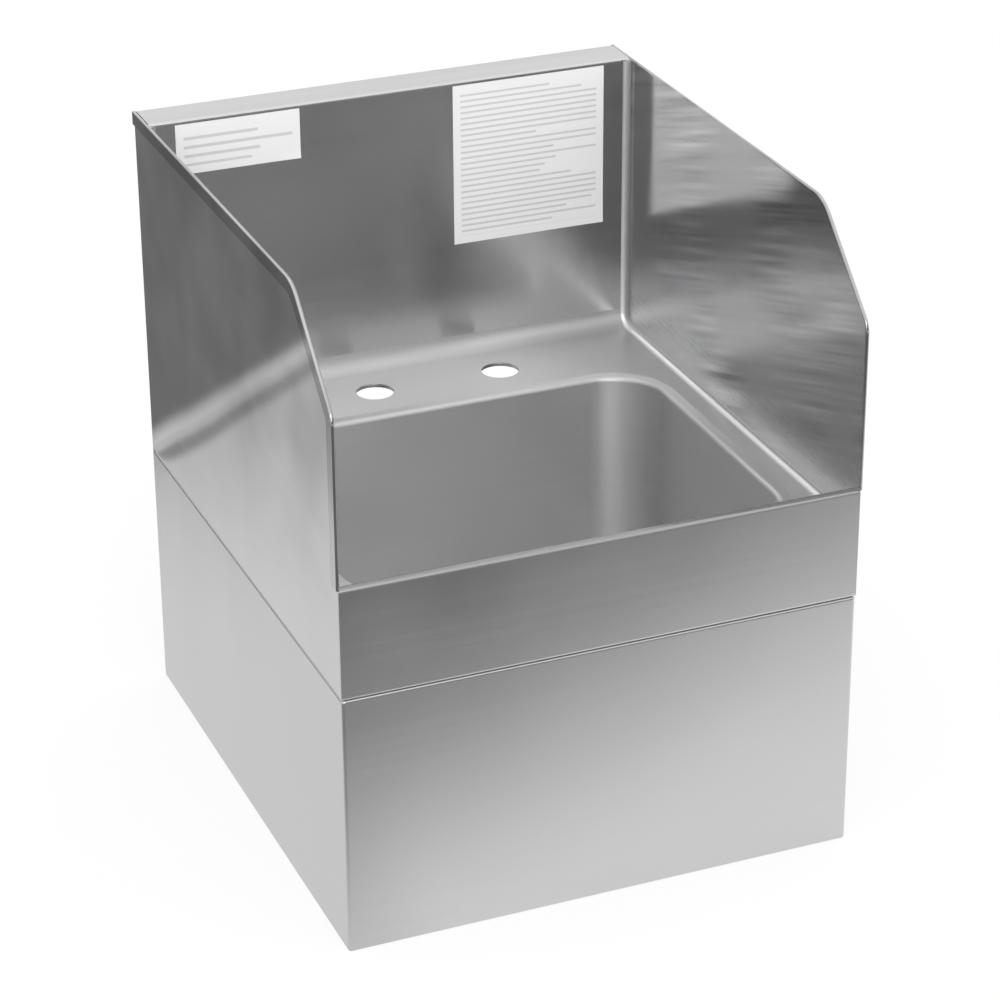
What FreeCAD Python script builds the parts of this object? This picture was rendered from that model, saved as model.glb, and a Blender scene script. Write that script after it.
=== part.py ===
import FreeCAD, Part
import math
import os
import Sketcher

# Wall mount hand sink in stainless sheet: a drawn bowl in a coved deck, a backsplash with two tall
# side splashes, a front apron, a screwed-on skirt, a wall hanger and a drain with a lift-out basket.
# Millimetres. +Z is up, the wall is the plane y = 0 and the sink stands out from it toward -Y.
# The origin is the middle of the wall hanger's two screw holes.

DIMENSIONS = {
    # Cabinet
    "body_width": 381.0,
    "body_depth": 422.3,
    "skirt_height": 196.85,
    "apron_height": 82.55,
    "front_rise": 28.575,
    "splash_rise": 190.5,
    "chamfer_run": 69.85,
    "chamfer_drop": 66.7,
    "knee_radius": 30.0,
    "toe_radius": 15.0,
    "lip_depth": 33.3,
    "lip_return": 14.0,
    "splash_flange": 12.0,
    # Sheet and its folds
    "sheet": 1.2,
    "bend_radius": 1.2,
    "hem_width": 10.0,
    "hem_thickness": 2.7,
    "hem_round": 1.15,
    "rim_return": 8.0,
    "rim_hook": 6.0,
    "seam_flange": 18.0,
    "seam_round": 1.8,
    "rear_flange": 25.0,
    "skirt_return": 12.0,
    "joint_gap": 1.0,
    # Deck
    "cove_radius": 12.7,
    "cove_height": 14.0,
    "deck_land": 4.0,
    "deck_flange": 12.0,
    "faucet_spacing": 101.6,
    "faucet_radius": 14.3,
    "faucet_setback": 77.5,
    "faucet_offset": 13.5,
    "plate_width": 190.0,
    "plate_depth": 44.0,
    "plate_thickness": 2.0,
    "plate_hole_radius": 15.0,
    # Bowl
    "bowl_margin": 28.575,
    "bowl_length": 266.7,
    "bowl_setback": 121.0,
    "bowl_depth": 165.1,
    "bowl_corner": 41.0,
    "bowl_draft": 1.5,
    "floor_radius": 22.0,
    "rim_radius": 3.5,
    "rim_flange": 6.0,
    # Wall hanger and its channel
    "hanger_drop": 42.0,
    "hanger_length": 292.0,
    "hanger_sheet": 1.9,
    "hanger_hole_spacing": 254.0,
    "hanger_hole_radius": 3.6,
    "hanger_below": 20.0,
    "hanger_above": 12.0,
    "hanger_shelf": 15.0,
    "hanger_upstand": 15.0,
    "channel_hook": 9.0,
    "channel_foot": 24.0,
    # Anchor holes in the rear flanges
    "anchor_radius": 3.4,
    "anchor_inset": 15.0,
    "anchor_low": 30.0,
    "anchor_pitch": 80.0,
    # Skirt screws and weld nuts
    "screw_radius": 2.4,
    "screw_hole_radius": 2.9,
    "screw_head_radius": 4.7,
    "screw_head_height": 3.2,
    "screw_inset": 11.0,
    "screw_front_pitch": 220.0,
    "screw_side_rear": 70.0,
    "screw_side_pitch": 250.0,
    "nut_radius": 5.2,
    "nut_height": 4.0,
    "nut_bore_radius": 2.5,
    # Drain cup and its clamping stack
    "drain_hole_radius": 33.0,
    "drain_recess_radius": 48.0,
    "drain_recess_depth": 3.4,
    "drain_flange_radius": 45.5,
    "drain_flange_thickness": 2.4,
    "drain_seal_thickness": 0.8,
    "cup_radius": 32.0,
    "cup_wall": 1.6,
    "cup_depth": 28.0,
    "basket_seat_radius": 36.0,
    "basket_seat_drop": 1.4,
    "gasket_thickness": 3.0,
    "gasket_radius": 46.0,
    "washer_thickness": 1.0,
    "thread_gap": 0.15,
    "lock_nut_height": 10.0,
    "lock_nut_radius": 40.5,
    "lug_reach": 46.0,
    "lug_width": 9.0,
    "spigot_radius": 23.0,
    "spigot_length": 16.0,
    "outlet_radius": 18.0,
    "seal_washer_thickness": 1.5,
    "tail_flange_thickness": 2.0,
    "tail_radius": 19.05,
    "tail_wall": 1.2,
    "tail_clearance": 3.0,
    "tail_neck_cut": 0.6,
    "tail_neck_drop": 1.0,
    "coupling_radius": 30.0,
    "coupling_height": 21.0,
    "coupling_shoulder": 3.5,
    # Lift-out basket, post and stopper
    "moving_gap": 0.35,
    "basket_wall": 0.9,
    "basket_depth": 12.0,
    "basket_side_gap": 0.9,
    "basket_slot_count": 12,
    "basket_slot_width": 3.0,
    "boss_radius": 7.0,
    "boss_height": 7.0,
    "post_radius": 4.0,
    "post_play": 0.1,
    "post_travel": 9.0,
    "knob_radius": 8.5,
    "knob_height": 6.0,
    "knob_stand": 9.0,
    "clip_thickness": 1.2,
    "clip_radius": 7.0,
    "stopper_radius": 21.0,
    "stopper_thickness": 4.5,
    "plug_radius": 17.0,
    "plug_depth": 2.6,
    "rivet_radius": 2.6,
    "rivet_head_radius": 5.0,
    "rivet_head_height": 1.4,
}

SHEET_NAME = "Dims"


class Size:
    """A length that carries its number and the spreadsheet expression behind it."""

    def __init__(self, value, text):
        self.value = value
        self.text = text

    def __add__(self, other):
        other = as_size(other)
        return Size(self.value + other.value, f"({self.text} + {other.text})")

    def __sub__(self, other):
        other = as_size(other)
        return Size(self.value - other.value, f"({self.text} - {other.text})")

    def __mul__(self, other):
        other = as_size(other)
        return Size(self.value * other.value, f"({self.text} * {other.text})")

    def __truediv__(self, other):
        other = as_size(other)
        return Size(self.value / other.value, f"({self.text} / {other.text})")

    def __neg__(self):
        return Size(-self.value, f"(-1 * {self.text})")

    __radd__ = __add__
    __rmul__ = __mul__

    def __rsub__(self, other):
        return as_size(other) - self


def as_size(item):
    """Any number as a Size; a Size passes unchanged."""
    if isinstance(item, Size):
        return item
    return Size(float(item), f"({float(item):.9g})")


def write_sheet(document):
    """The spreadsheet with one named cell for each dimension."""
    sheet = document.addObject("Spreadsheet::Sheet", SHEET_NAME)
    for row, (alias, value) in enumerate(DIMENSIONS.items(), 1):
        sheet.set(f"A{row}", alias)
        sheet.set(f"B{row}", str(value))
        sheet.setAlias(f"B{row}", alias)
    document.recompute()
    return sheet


def size(alias):
    """The named dimension as a Size."""
    return Size(float(DIMENSIONS[alias]), f"{SHEET_NAME}.{alias}")


doc = FreeCAD.newDocument("wall_mount_hand_sink")
write_sheet(doc)

# Shared sizes
WIDTH = size("body_width")
DEPTH = size("body_depth")
SHEET = size("sheet")
BEND = size("bend_radius")
HALF = WIDTH / 2
INSIDE = HALF - SHEET
LIP = size("lip_depth")
FLANGE = size("seam_flange")
GAP = size("joint_gap")

# Levels above the hanger's screw holes
TOP_Z = size("hanger_drop")
RIM_Z = TOP_Z - size("splash_rise")
DECK_Z = RIM_Z - size("front_rise")
SEAM_Z = RIM_Z - size("apron_height")
BASE_Z = SEAM_Z - size("skirt_height")

# Half width and middle of the bowl, and the drain seat in its floor
BOWL_HALF = HALF - size("bowl_margin")
BOWL_Y = -(size("bowl_setback") + size("bowl_length") / 2)
SEAT_Z = DECK_Z - size("bowl_depth") - size("drain_recess_depth")

# Levels of the drain stack, measured from the drain seat
SEAL_TOP = size("drain_seal_thickness")
FLANGE_TOP = SEAL_TOP + size("drain_flange_thickness")
BASKET_SEAT = FLANGE_TOP - size("basket_seat_drop")
GASKET_TOP = -SHEET
GASKET_FOOT = GASKET_TOP - size("gasket_thickness")
WASHER_FOOT = GASKET_FOOT - size("washer_thickness")
CUP_FLOOR = -size("cup_depth")
CUP_FOOT = CUP_FLOOR - size("cup_wall")
SPIGOT_FOOT = CUP_FOOT - size("spigot_length")
TAIL_TOP = SPIGOT_FOOT - size("seal_washer_thickness")
TAIL_SHOULDER = TAIL_TOP - size("tail_flange_thickness")
COUPLING_FOOT = TAIL_SHOULDER - size("coupling_shoulder")
TAIL_FOOT = BASE_Z - SEAT_Z + size("tail_clearance")
BASKET_RIM = BASKET_SEAT + size("moving_gap")
BASKET_FOOT = BASKET_RIM - size("basket_depth")
STOPPER_FOOT = CUP_FLOOR + size("moving_gap")
STOPPER_TOP = STOPPER_FOOT + size("stopper_thickness")
CLIP_TOP = BASKET_FOOT - size("post_travel") - size("moving_gap")


def new_body(label, x=0.0, y=0.0, z=0.0):
    """A body placed in the sink's frame."""
    body = doc.addObject("PartDesign::Body", label)
    body.Label = label
    for axis, item in (("x", x), ("y", y), ("z", z)):
        if isinstance(item, Size):
            body.setExpression(f"Placement.Base.{axis}", item.text)
    return body


def sketch_on(body, plane, name, lift=None):
    """A sketch on one of the body's own planes, lifted along the plane's normal."""
    sketch = body.newObject("Sketcher::SketchObject", f"{body.Name}_{name}")
    support = next(item for item in body.Origin.OriginFeatures if item.Role == plane)
    sketch.AttachmentSupport = [(support, "")]
    sketch.MapMode = "FlatFace"
    if lift is not None:
        sketch.setExpression("AttachmentOffset.Base.z", as_size(lift).text)
    return sketch


class Draft:
    """Constraints of one sketch, gathered with the expressions that drive them."""

    def __init__(self, sketch):
        self.sketch = sketch
        self.constraints = []
        self.driven = []

    def add(self, *terms):
        """Adds a plain constraint."""
        self.constraints.append(Sketcher.Constraint(*terms))

    def drive(self, length, *terms):
        """Adds a dimension that follows a Size."""
        self.driven.append((len(self.constraints), length.text))
        self.constraints.append(Sketcher.Constraint(*terms, length.value))

    def pin(self, geometry, end, x, y):
        """Fixes a point at x, y from the sketch's origin."""
        for kind, axis, item in (("DistanceX", -2, x), ("DistanceY", -1, y)):
            if isinstance(item, Size):
                self.drive(item, kind, -1, 1, geometry, end)
            else:
                self.add("PointOnObject", geometry, end, axis)

    def close(self):
        """Writes the gathered constraints into the sketch."""
        first = self.sketch.ConstraintCount
        self.sketch.addConstraint(self.constraints)
        for index, text in self.driven:
            self.sketch.setExpression(f"Constraints[{first + index}]", text)


def flat(item):
    """The number behind a coordinate; a bare number must be zero."""
    return item.value if isinstance(item, Size) else 0.0


def draw(sketch, corners, closed=True):
    """Straight sides through corners (x, y) or (x, y, radius); a radius rounds its corner.

    A coordinate is a Size, or 0 on an axis of the sketch.
    """
    draft = Draft(sketch)
    count = len(corners)
    points = [FreeCAD.Vector(flat(corner[0]), flat(corner[1]), 0) for corner in corners]
    enter = list(points)
    leave = list(points)
    arcs = {}
    for index, corner in enumerate(corners):
        if len(corner) < 3 or corner[2] is None:
            continue
        here = points[index]
        back = (points[index - 1] - here).normalize()
        ahead = (points[(index + 1) % count] - here).normalize()
        half = back.getAngle(ahead) / 2
        run = corner[2].value / math.tan(half)
        enter[index] = here + back * run
        leave[index] = here + ahead * run
        centre = here + (back + ahead).normalize() * (corner[2].value / math.sin(half))
        left_turn = back.cross(ahead).z < 0
        start, stop = (enter[index], leave[index]) if left_turn else (leave[index], enter[index])
        angles = [math.atan2(p.y - centre.y, p.x - centre.x) for p in (start, stop)]
        if angles[1] < angles[0]:
            angles[1] += 2 * math.pi
        circle = Part.Circle(centre, FreeCAD.Vector(0, 0, 1), corner[2].value)
        arcs[index] = (circle, angles, left_turn)

    lines = {}
    for index in range(count if closed else count - 1):
        side = Part.LineSegment(leave[index], enter[(index + 1) % count])
        lines[index] = sketch.addGeometry(side, False)
    for index, corner in enumerate(corners):
        before = lines.get((index - 1) % count if closed or index else None)
        after = lines.get(index)
        if index in arcs:
            circle, angles, left_turn = arcs[index]
            arc = sketch.addGeometry(Part.ArcOfCircle(circle, angles[0], angles[1]), False)
            first, last = (1, 2) if left_turn else (2, 1)
            mark = sketch.addGeometry(Part.Point(points[index]), True)
            draft.pin(mark, 1, corner[0], corner[1])
            draft.add("PointOnObject", mark, 1, before)
            draft.add("PointOnObject", mark, 1, after)
            draft.add("Tangent", before, 2, arc, first)
            draft.add("Tangent", arc, last, after, 1)
            draft.drive(corner[2], "Radius", arc)
        elif after is None:
            draft.pin(before, 2, corner[0], corner[1])
        else:
            draft.pin(after, 1, corner[0], corner[1])
            if before is not None:
                draft.add("Coincident", before, 2, after, 1)
    draft.close()


def draw_circle(sketch, x, y, radius):
    """A circle; x and y are Sizes, or 0 on an axis of the sketch."""
    draft = Draft(sketch)
    centre = FreeCAD.Vector(flat(x), flat(y), 0)
    ring = sketch.addGeometry(Part.Circle(centre, FreeCAD.Vector(0, 0, 1), radius.value), False)
    draft.pin(ring, 3, x, y)
    draft.drive(radius, "Radius", ring)
    draft.close()


def rectangle(left, right, low, high, radius=None):
    """Corners of a rectangle, rounded by one radius."""
    return [(left, low, radius), (right, low, radius), (right, high, radius), (left, high, radius)]


def bent_sheet(path, thickness, bend, side):
    """Outline of a sheet bent along a right-angled path.

    The path is one face of the sheet; side is 1 for a sheet to the left of it and -1 to the right.
    """
    steps = []
    for start, stop in zip(path, path[1:]):
        run = FreeCAD.Vector(flat(stop[0]) - flat(start[0]), flat(stop[1]) - flat(start[1]), 0)
        steps.append(run.normalize())
    near = []
    far = []
    for index, (x, y) in enumerate(path):
        touching = steps[max(index - 1, 0):index + 1]
        shift_x = sum(-round(step.y) for step in touching) * side
        shift_y = sum(round(step.x) for step in touching) * side
        near_radius = far_radius = None
        if len(touching) == 2 and 0 < index < len(path) - 1:
            left_turn = touching[0].cross(touching[1]).z > 0
            outside = left_turn == (side > 0)
            near_radius = bend + thickness if outside else bend
            far_radius = bend if outside else bend + thickness
        near.append((x, y, near_radius))
        far.append((as_size(x) + thickness * shift_x, as_size(y) + thickness * shift_y, far_radius))
    return near + far[::-1]


def pad(body, sketch, length, symmetric=False, reverse=False, taper=None):
    """Adds the sketch to the body over a length."""
    feature = body.newObject("PartDesign::Pad", f"{sketch.Name}_pad")
    return extrude(feature, sketch, length, symmetric, reverse, taper)


def pocket(body, sketch, length=None, symmetric=False, reverse=False, taper=None):
    """Cuts the sketch from the body over a length, or right through."""
    feature = body.newObject("PartDesign::Pocket", f"{sketch.Name}_pocket")
    if length is None:
        feature.Type = "ThroughAll"
    return extrude(feature, sketch, length, symmetric, reverse, taper)


def extrude(feature, sketch, length, symmetric, reverse, taper):
    """Shared settings of pads and pockets."""
    feature.Profile = sketch
    if length is not None:
        feature.setExpression("Length", length.text)
    feature.SideType = "Symmetric" if symmetric else "One side"
    feature.Reversed = reverse
    if taper is not None:
        feature.setExpression("TaperAngle", taper.text)
    sketch.Visibility = False
    doc.recompute()
    return feature


def revolve(body, sketch):
    """Turns the sketch once round its vertical axis."""
    feature = body.newObject("PartDesign::Revolution", f"{sketch.Name}_turn")
    feature.Profile = sketch
    feature.ReferenceAxis = (sketch, ["V_Axis"])
    feature.Angle = 360.0
    sketch.Visibility = False
    doc.recompute()
    return feature


def polar(body, feature, count):
    """Repeats a feature round the body's Z axis."""
    pattern = body.newObject("PartDesign::PolarPattern", f"{feature.Name}_ring")
    pattern.Originals = [feature]
    axis = next(item for item in body.Origin.OriginFeatures if item.Role == "Z_Axis")
    pattern.Axis = (axis, [""])
    pattern.Angle = 360.0
    pattern.setExpression("Occurrences", as_size(count).text)
    body.Tip = pattern
    doc.recompute()
    return pattern


def edges_where(feature, test):
    """Names of the edges whose sampled points all pass the test."""
    names = []
    for number, edge in enumerate(feature.Shape.Edges, 1):
        if all(test(point) for point in edge.discretize(5)):
            names.append(f"Edge{number}")
    return names


def fillet(body, test, radius, name):
    """Rounds the edges of the body's tip that pass the test."""
    base = body.Tip
    names = edges_where(base, test)
    feature = body.newObject("PartDesign::Fillet", f"{body.Name}_{name}")
    feature.Base = (base, names)
    feature.setExpression("Radius", radius.text)
    doc.recompute()
    return feature


def near(first, second):
    """Whether two numbers are one coordinate."""
    return abs(first - second) < 1e-4


def make_bowl():
    """Drawn bowl: rolled rim with a flush flange, drafted walls, round floor edge and drain seat."""
    body = new_body("bowl", y=BOWL_Y, z=DECK_Z)
    half_x = BOWL_HALF
    half_y = size("bowl_length") / 2
    corner = size("bowl_corner")
    reach = size("rim_radius") + size("rim_flange")
    depth = size("bowl_depth")

    flange = sketch_on(body, "XY_Plane", "rim")
    draw(flange, rectangle(-half_x - reach, half_x + reach, -half_y - reach, half_y + reach, corner + reach))
    pad(body, flange, SHEET, reverse=True)
    outer = sketch_on(body, "XY_Plane", "outer")
    draw(outer, rectangle(-half_x - SHEET, half_x + SHEET, -half_y - SHEET, half_y + SHEET, corner + SHEET))
    pad(body, outer, depth + SHEET, reverse=True, taper=-size("bowl_draft"))
    inner = sketch_on(body, "XY_Plane", "inner")
    draw(inner, rectangle(-half_x, half_x, -half_y, half_y, corner))
    pocket(body, inner, depth, taper=-size("bowl_draft"))
    inner_z = -depth.value
    fillet(body, lambda p: near(p.z, inner_z), size("floor_radius"), "inner_floor_round")
    outer_z = -(depth + SHEET).value
    fillet(body, lambda p: near(p.z, outer_z), size("floor_radius") + SHEET, "outer_floor_round")
    limit_x = half_x.value + 0.01
    limit_y = half_y.value + 0.01
    fillet(body, lambda p: near(p.z, 0) and abs(p.x) < limit_x and abs(p.y) < limit_y,
           size("rim_radius"), "rim_roll")
    under_z = -SHEET.value
    under_x = (half_x + SHEET).value + 0.01
    under_y = (half_y + SHEET).value + 0.01
    fillet(body, lambda p: near(p.z, under_z) and abs(p.x) < under_x and abs(p.y) < under_y,
           size("rim_radius") - SHEET, "rim_under_roll")

    dish = size("drain_recess_radius")
    drop = size("drain_recess_depth")
    seat = sketch_on(body, "XY_Plane", "seat", -(depth + SHEET))
    draw_circle(seat, 0, 0, dish + SHEET)
    pad(body, seat, drop, reverse=True)
    recess = sketch_on(body, "XY_Plane", "recess", -depth)
    draw_circle(recess, 0, 0, dish)
    pocket(body, recess, drop)
    hole = sketch_on(body, "XY_Plane", "drain_hole", -depth)
    draw_circle(hole, 0, 0, size("drain_hole_radius"))
    pocket(body, hole, drop + SHEET * 2)
    return body


def make_deck():
    """Deck: sides turned down, a cove at the rear flush with the backsplash, an upturn behind the apron.

    The bowl's rim fills its opening, and two holes take the faucet.
    """
    body = new_body("deck", z=DECK_Z)
    front = -DEPTH + SHEET
    rear = -LIP
    cove = size("cove_radius")
    land = size("deck_land")
    drop = size("deck_flange")
    flat_front = DEPTH - SHEET * 2 - BEND
    pan = sketch_on(body, "XZ_Plane", "pan", LIP + cove)
    path = [(-INSIDE, -drop), (-INSIDE, 0), (INSIDE, 0), (INSIDE, -drop)]
    draw(pan, bent_sheet(path, SHEET, BEND, -1))
    pad(body, pan, flat_front - LIP - cove)
    back = sketch_on(body, "YZ_Plane", "rear_cove")
    high = size("cove_height")
    draw(back, [(rear - cove - land, -SHEET), (rear + SHEET, -SHEET, cove + SHEET), (rear + SHEET, high),
                (rear, high), (rear, 0, cove), (rear - cove - land, 0)])
    pad(body, back, INSIDE * 2, symmetric=True)
    edge = sketch_on(body, "YZ_Plane", "front_upturn")
    rise = size("front_rise") - BEND - SHEET
    draw(edge, [(-flat_front + land, 0), (front + SHEET, 0, BEND), (front + SHEET, rise), (front, rise),
                (front, -SHEET, BEND + SHEET), (-flat_front + land, -SHEET)])
    pad(body, edge, INSIDE * 2, symmetric=True)

    reach = size("rim_radius") + size("rim_flange")
    half_x = BOWL_HALF + reach
    half_y = size("bowl_length") / 2 + reach
    opening = sketch_on(body, "XY_Plane", "bowl_opening", SHEET)
    draw(opening, rectangle(-half_x, half_x, BOWL_Y - half_y, BOWL_Y + half_y, size("bowl_corner") + reach))
    pocket(body, opening, SHEET * 3)
    holes = sketch_on(body, "XY_Plane", "faucet_holes", SHEET)
    for x in (faucet_x(-1), faucet_x(1)):
        draw_circle(holes, x, -size("faucet_setback"), size("faucet_radius"))
    pocket(body, holes, SHEET * 3)
    return body


def faucet_x(side):
    """Where a faucet hole stands across the deck."""
    return size("faucet_offset") + size("faucet_spacing") * (side / 2)


def make_faucet_plate():
    """Backing plate against the underside of the deck round the faucet holes."""
    body = new_body("faucet_plate", x=size("faucet_offset"), y=-size("faucet_setback"), z=DECK_Z - SHEET)
    half_x = size("plate_width") / 2
    half_y = size("plate_depth") / 2
    plan = sketch_on(body, "XY_Plane", "plan")
    draw(plan, rectangle(-half_x, half_x, -half_y, half_y, size("plate_thickness") * 3))
    for side in (-1, 1):
        draw_circle(plan, size("faucet_spacing") * (side / 2), 0, size("plate_hole_radius"))
    pad(body, plan, size("plate_thickness"), reverse=True)
    return body


def make_backsplash():
    """Backsplash: top lip that turns down at the wall, and a web with rear-turned side flanges."""
    body = new_body("backsplash", z=TOP_Z)
    fold = (BEND + SHEET) * 2
    lip = sketch_on(body, "YZ_Plane", "lip")
    path = [(0, -size("lip_return")), (0, 0), (-LIP, 0), (-LIP, -fold)]
    draw(lip, bent_sheet(path, SHEET, BEND, 1))
    pad(body, lip, INSIDE * 2, symmetric=True)
    height = size("splash_rise") + size("front_rise") - size("cove_height")
    web = sketch_on(body, "XY_Plane", "web", -height)
    back = size("splash_flange") - LIP
    path = [(-INSIDE, back), (-INSIDE, -LIP), (INSIDE, -LIP), (INSIDE, back)]
    draw(web, bent_sheet(path, SHEET, BEND, 1))
    pad(body, web, height - fold)
    return body


def panel_height():
    """Seam to the fold line of the hem along the top of a side panel."""
    return size("apron_height") + size("splash_rise") - size("hem_thickness") / 2


def panel_front():
    """Wall to the fold line of the hem along the front of a side panel."""
    return DEPTH - size("hem_thickness") / 2


def make_left_panel():
    """Side panel: flat sheet from splash top to seam, hemmed outward along its free edge."""
    body = new_body("left_side_panel", z=SEAM_Z)
    height = panel_height()
    front = panel_front()
    web = sketch_on(body, "XZ_Plane", "web")
    path = [(-HALF + FLANGE, 0), (-HALF, 0), (-HALF, height)]
    draw(web, bent_sheet(path, SHEET, BEND, -1))
    pad(body, web, front)

    run = size("chamfer_run")
    drop = size("chamfer_drop")
    chamfer = sketch_on(body, "YZ_Plane", "chamfer")
    draw(chamfer, [(-front - run, height + drop), (-front - run, height - drop * 2), (-front + run, height),
                   (-front + run, height + drop)])
    pocket(body, chamfer, WIDTH * 2, symmetric=True)
    upper_y = (-front + run).value
    lower_z = (height - drop).value
    fillet(body, lambda p: near(p.y, upper_y) and near(p.z, height.value), size("knee_radius"), "knee")
    fillet(body, lambda p: near(p.y, -front.value) and near(p.z, lower_z), size("toe_radius"), "toe")

    corner = sketch_on(body, "XY_Plane", "corner_relief")
    draw(corner, rectangle(-INSIDE, -HALF + FLANGE * 2, -DEPTH, -DEPTH + FLANGE + GAP))
    pocket(body, corner, FLANGE, reverse=True)
    rear = sketch_on(body, "XZ_Plane", "rear_flange")
    rear_top = size("apron_height") + size("splash_rise") - size("lip_return") - GAP
    draw(rear, rectangle(-HALF, -HALF + size("rear_flange"), 0, rear_top))
    pad(body, rear, SHEET)
    anchors = sketch_on(body, "XZ_Plane", "anchor_holes")
    for step in (0, 1):
        z = size("anchor_low") + size("anchor_pitch") * step
        draw_circle(anchors, -HALF + size("anchor_inset"), z, size("anchor_radius"))
    pocket(body, anchors, SHEET * 3, symmetric=True)
    screws = sketch_on(body, "XY_Plane", "screw_holes")
    for y in side_screw_rows():
        draw_circle(screws, -HALF + size("screw_inset"), y, size("screw_hole_radius"))
    pocket(body, screws, SHEET * 3, symmetric=True)

    path_sketch = sketch_on(body, "YZ_Plane", "hem_path", -HALF)
    draw(path_sketch, [(0, height), (-front + run, height, size("knee_radius")),
                       (-front, height - drop, size("toe_radius")), (-front, size("apron_height"))], closed=False)
    section = sketch_on(body, "XZ_Plane", "hem_section")
    outside = -HALF - size("hem_thickness") + SHEET
    crest = height + size("hem_thickness") / 2
    turn = size("hem_round")
    draw(section, [(-INSIDE, height), (-HALF, height), (-HALF, crest - size("hem_width")),
                   (outside, crest - size("hem_width")), (outside, crest, turn), (-INSIDE, crest, turn)])
    doc.recompute()
    hem = body.newObject("PartDesign::AdditivePipe", "left_side_panel_hem")
    hem.Profile = section
    hem.Spine = (path_sketch, [f"Edge{number}" for number in range(1, len(path_sketch.Shape.Edges) + 1)])
    hem.Mode = "Standard"
    hem.Transition = "Transformed"
    doc.recompute()
    return body


def make_right_panel(left):
    """Right side panel: the left one mirrored."""
    panel = doc.addObject("Part::Mirroring", "right_side_panel")
    panel.Label = "right_side_panel"
    panel.Source = left
    panel.Base = FreeCAD.Vector(0, 0, 0)
    panel.Normal = FreeCAD.Vector(1, 0, 0)
    doc.recompute()
    return panel


def make_apron():
    """Front apron: face with a hooked top return and a seam flange, notched for the side panels."""
    body = new_body("front_apron", z=SEAM_Z)
    height = size("apron_height")
    face = sketch_on(body, "YZ_Plane", "face")
    back = size("rim_return") - DEPTH
    path = [(-DEPTH + FLANGE, 0), (-DEPTH, 0), (-DEPTH, height), (back, height),
            (back, height - size("rim_hook"))]
    draw(face, bent_sheet(path, SHEET, BEND, -1))
    pad(body, face, WIDTH, symmetric=True)
    notch = sketch_on(body, "XY_Plane", "end_notches")
    for low, high in ((INSIDE, HALF + FLANGE), (-HALF - FLANGE, -INSIDE)):
        draw(notch, rectangle(low, high, -DEPTH + SHEET, -DEPTH + FLANGE * 2))
    pocket(body, notch, height * 3, symmetric=True)
    screws = sketch_on(body, "XY_Plane", "screw_holes")
    for side in (-1, 1):
        draw_circle(screws, size("screw_front_pitch") * (side / 2), -DEPTH + size("screw_inset"),
                    size("screw_hole_radius"))
    pocket(body, screws, SHEET * 3, symmetric=True)
    return body


def side_screw_rows():
    """Distances of the side screws from the wall."""
    rear = -size("screw_side_rear")
    return rear, rear - size("screw_side_pitch")


def screw_spots():
    """Plan positions of the six skirt screws."""
    spots = []
    for side in (-1, 1):
        spots.append((size("screw_front_pitch") * (side / 2), -DEPTH + size("screw_inset")))
        for y in side_screw_rows():
            spots.append(((HALF - size("screw_inset")) * side, y))
    return spots


def make_skirt():
    """Skirt: three sides of one sheet with a seam flange, a bottom return and flanges at the wall."""
    body = new_body("skirt", z=BASE_Z)
    height = size("skirt_height")
    walls = sketch_on(body, "XY_Plane", "walls")
    path = [(-HALF, 0), (-HALF, -DEPTH), (HALF, -DEPTH), (HALF, 0)]
    draw(walls, bent_sheet(path, SHEET, BEND, 1))
    pad(body, walls, height)
    middle = SHEET / 2
    side = HALF - middle
    front = -DEPTH + middle
    turn = BEND + middle
    folds = (("seam_flange", height - SHEET, FLANGE), ("bottom_return", None, size("skirt_return")))
    for name, level, width in folds:
        ring = sketch_on(body, "XY_Plane", name, level)
        draw(ring, [(-side, 0), (-side, front, turn), (side, front, turn), (side, 0), (HALF - width, 0),
                    (HALF - width, -DEPTH + width), (-HALF + width, -DEPTH + width), (-HALF + width, 0)])
        pad(body, ring, SHEET)
    for name, z in (("bottom_round", 0.0), ("seam_round", height.value)):
        fillet(body, lambda p: near(p.z, z) and (near(abs(p.x), HALF.value) or near(p.y, -DEPTH.value)),
               size("seam_round"), name)
    rear = sketch_on(body, "XZ_Plane", "rear_flanges")
    low = FLANGE
    high = height - FLANGE
    for near_x, far_x in ((-HALF, -HALF + size("rear_flange")), (HALF - size("rear_flange"), HALF)):
        draw(rear, rectangle(near_x, far_x, low, high))
    pad(body, rear, SHEET)
    screws = sketch_on(body, "XY_Plane", "screw_holes", height)
    for x, y in screw_spots():
        draw_circle(screws, x, y, size("screw_hole_radius"))
    pocket(body, screws, SHEET * 3, symmetric=True)
    return body


def make_wall_hanger():
    """Wall bracket: web with two screw holes, a shelf and an upstand that the channel hooks over."""
    body = new_body("wall_hanger")
    gauge = size("hanger_sheet")
    shelf = size("hanger_above")
    profile = sketch_on(body, "YZ_Plane", "profile")
    path = [(0, -size("hanger_below")), (0, shelf), (-size("hanger_shelf"), shelf),
            (-size("hanger_shelf"), shelf + size("hanger_upstand"))]
    draw(profile, bent_sheet(path, gauge, BEND, 1))
    pad(body, profile, size("hanger_length"), symmetric=True)
    holes = sketch_on(body, "XZ_Plane", "screw_holes")
    for side in (-1, 1):
        draw_circle(holes, size("hanger_hole_spacing") * (side / 2), 0, size("hanger_hole_radius"))
    pocket(body, holes, gauge * 4, symmetric=True)
    return body


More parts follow.
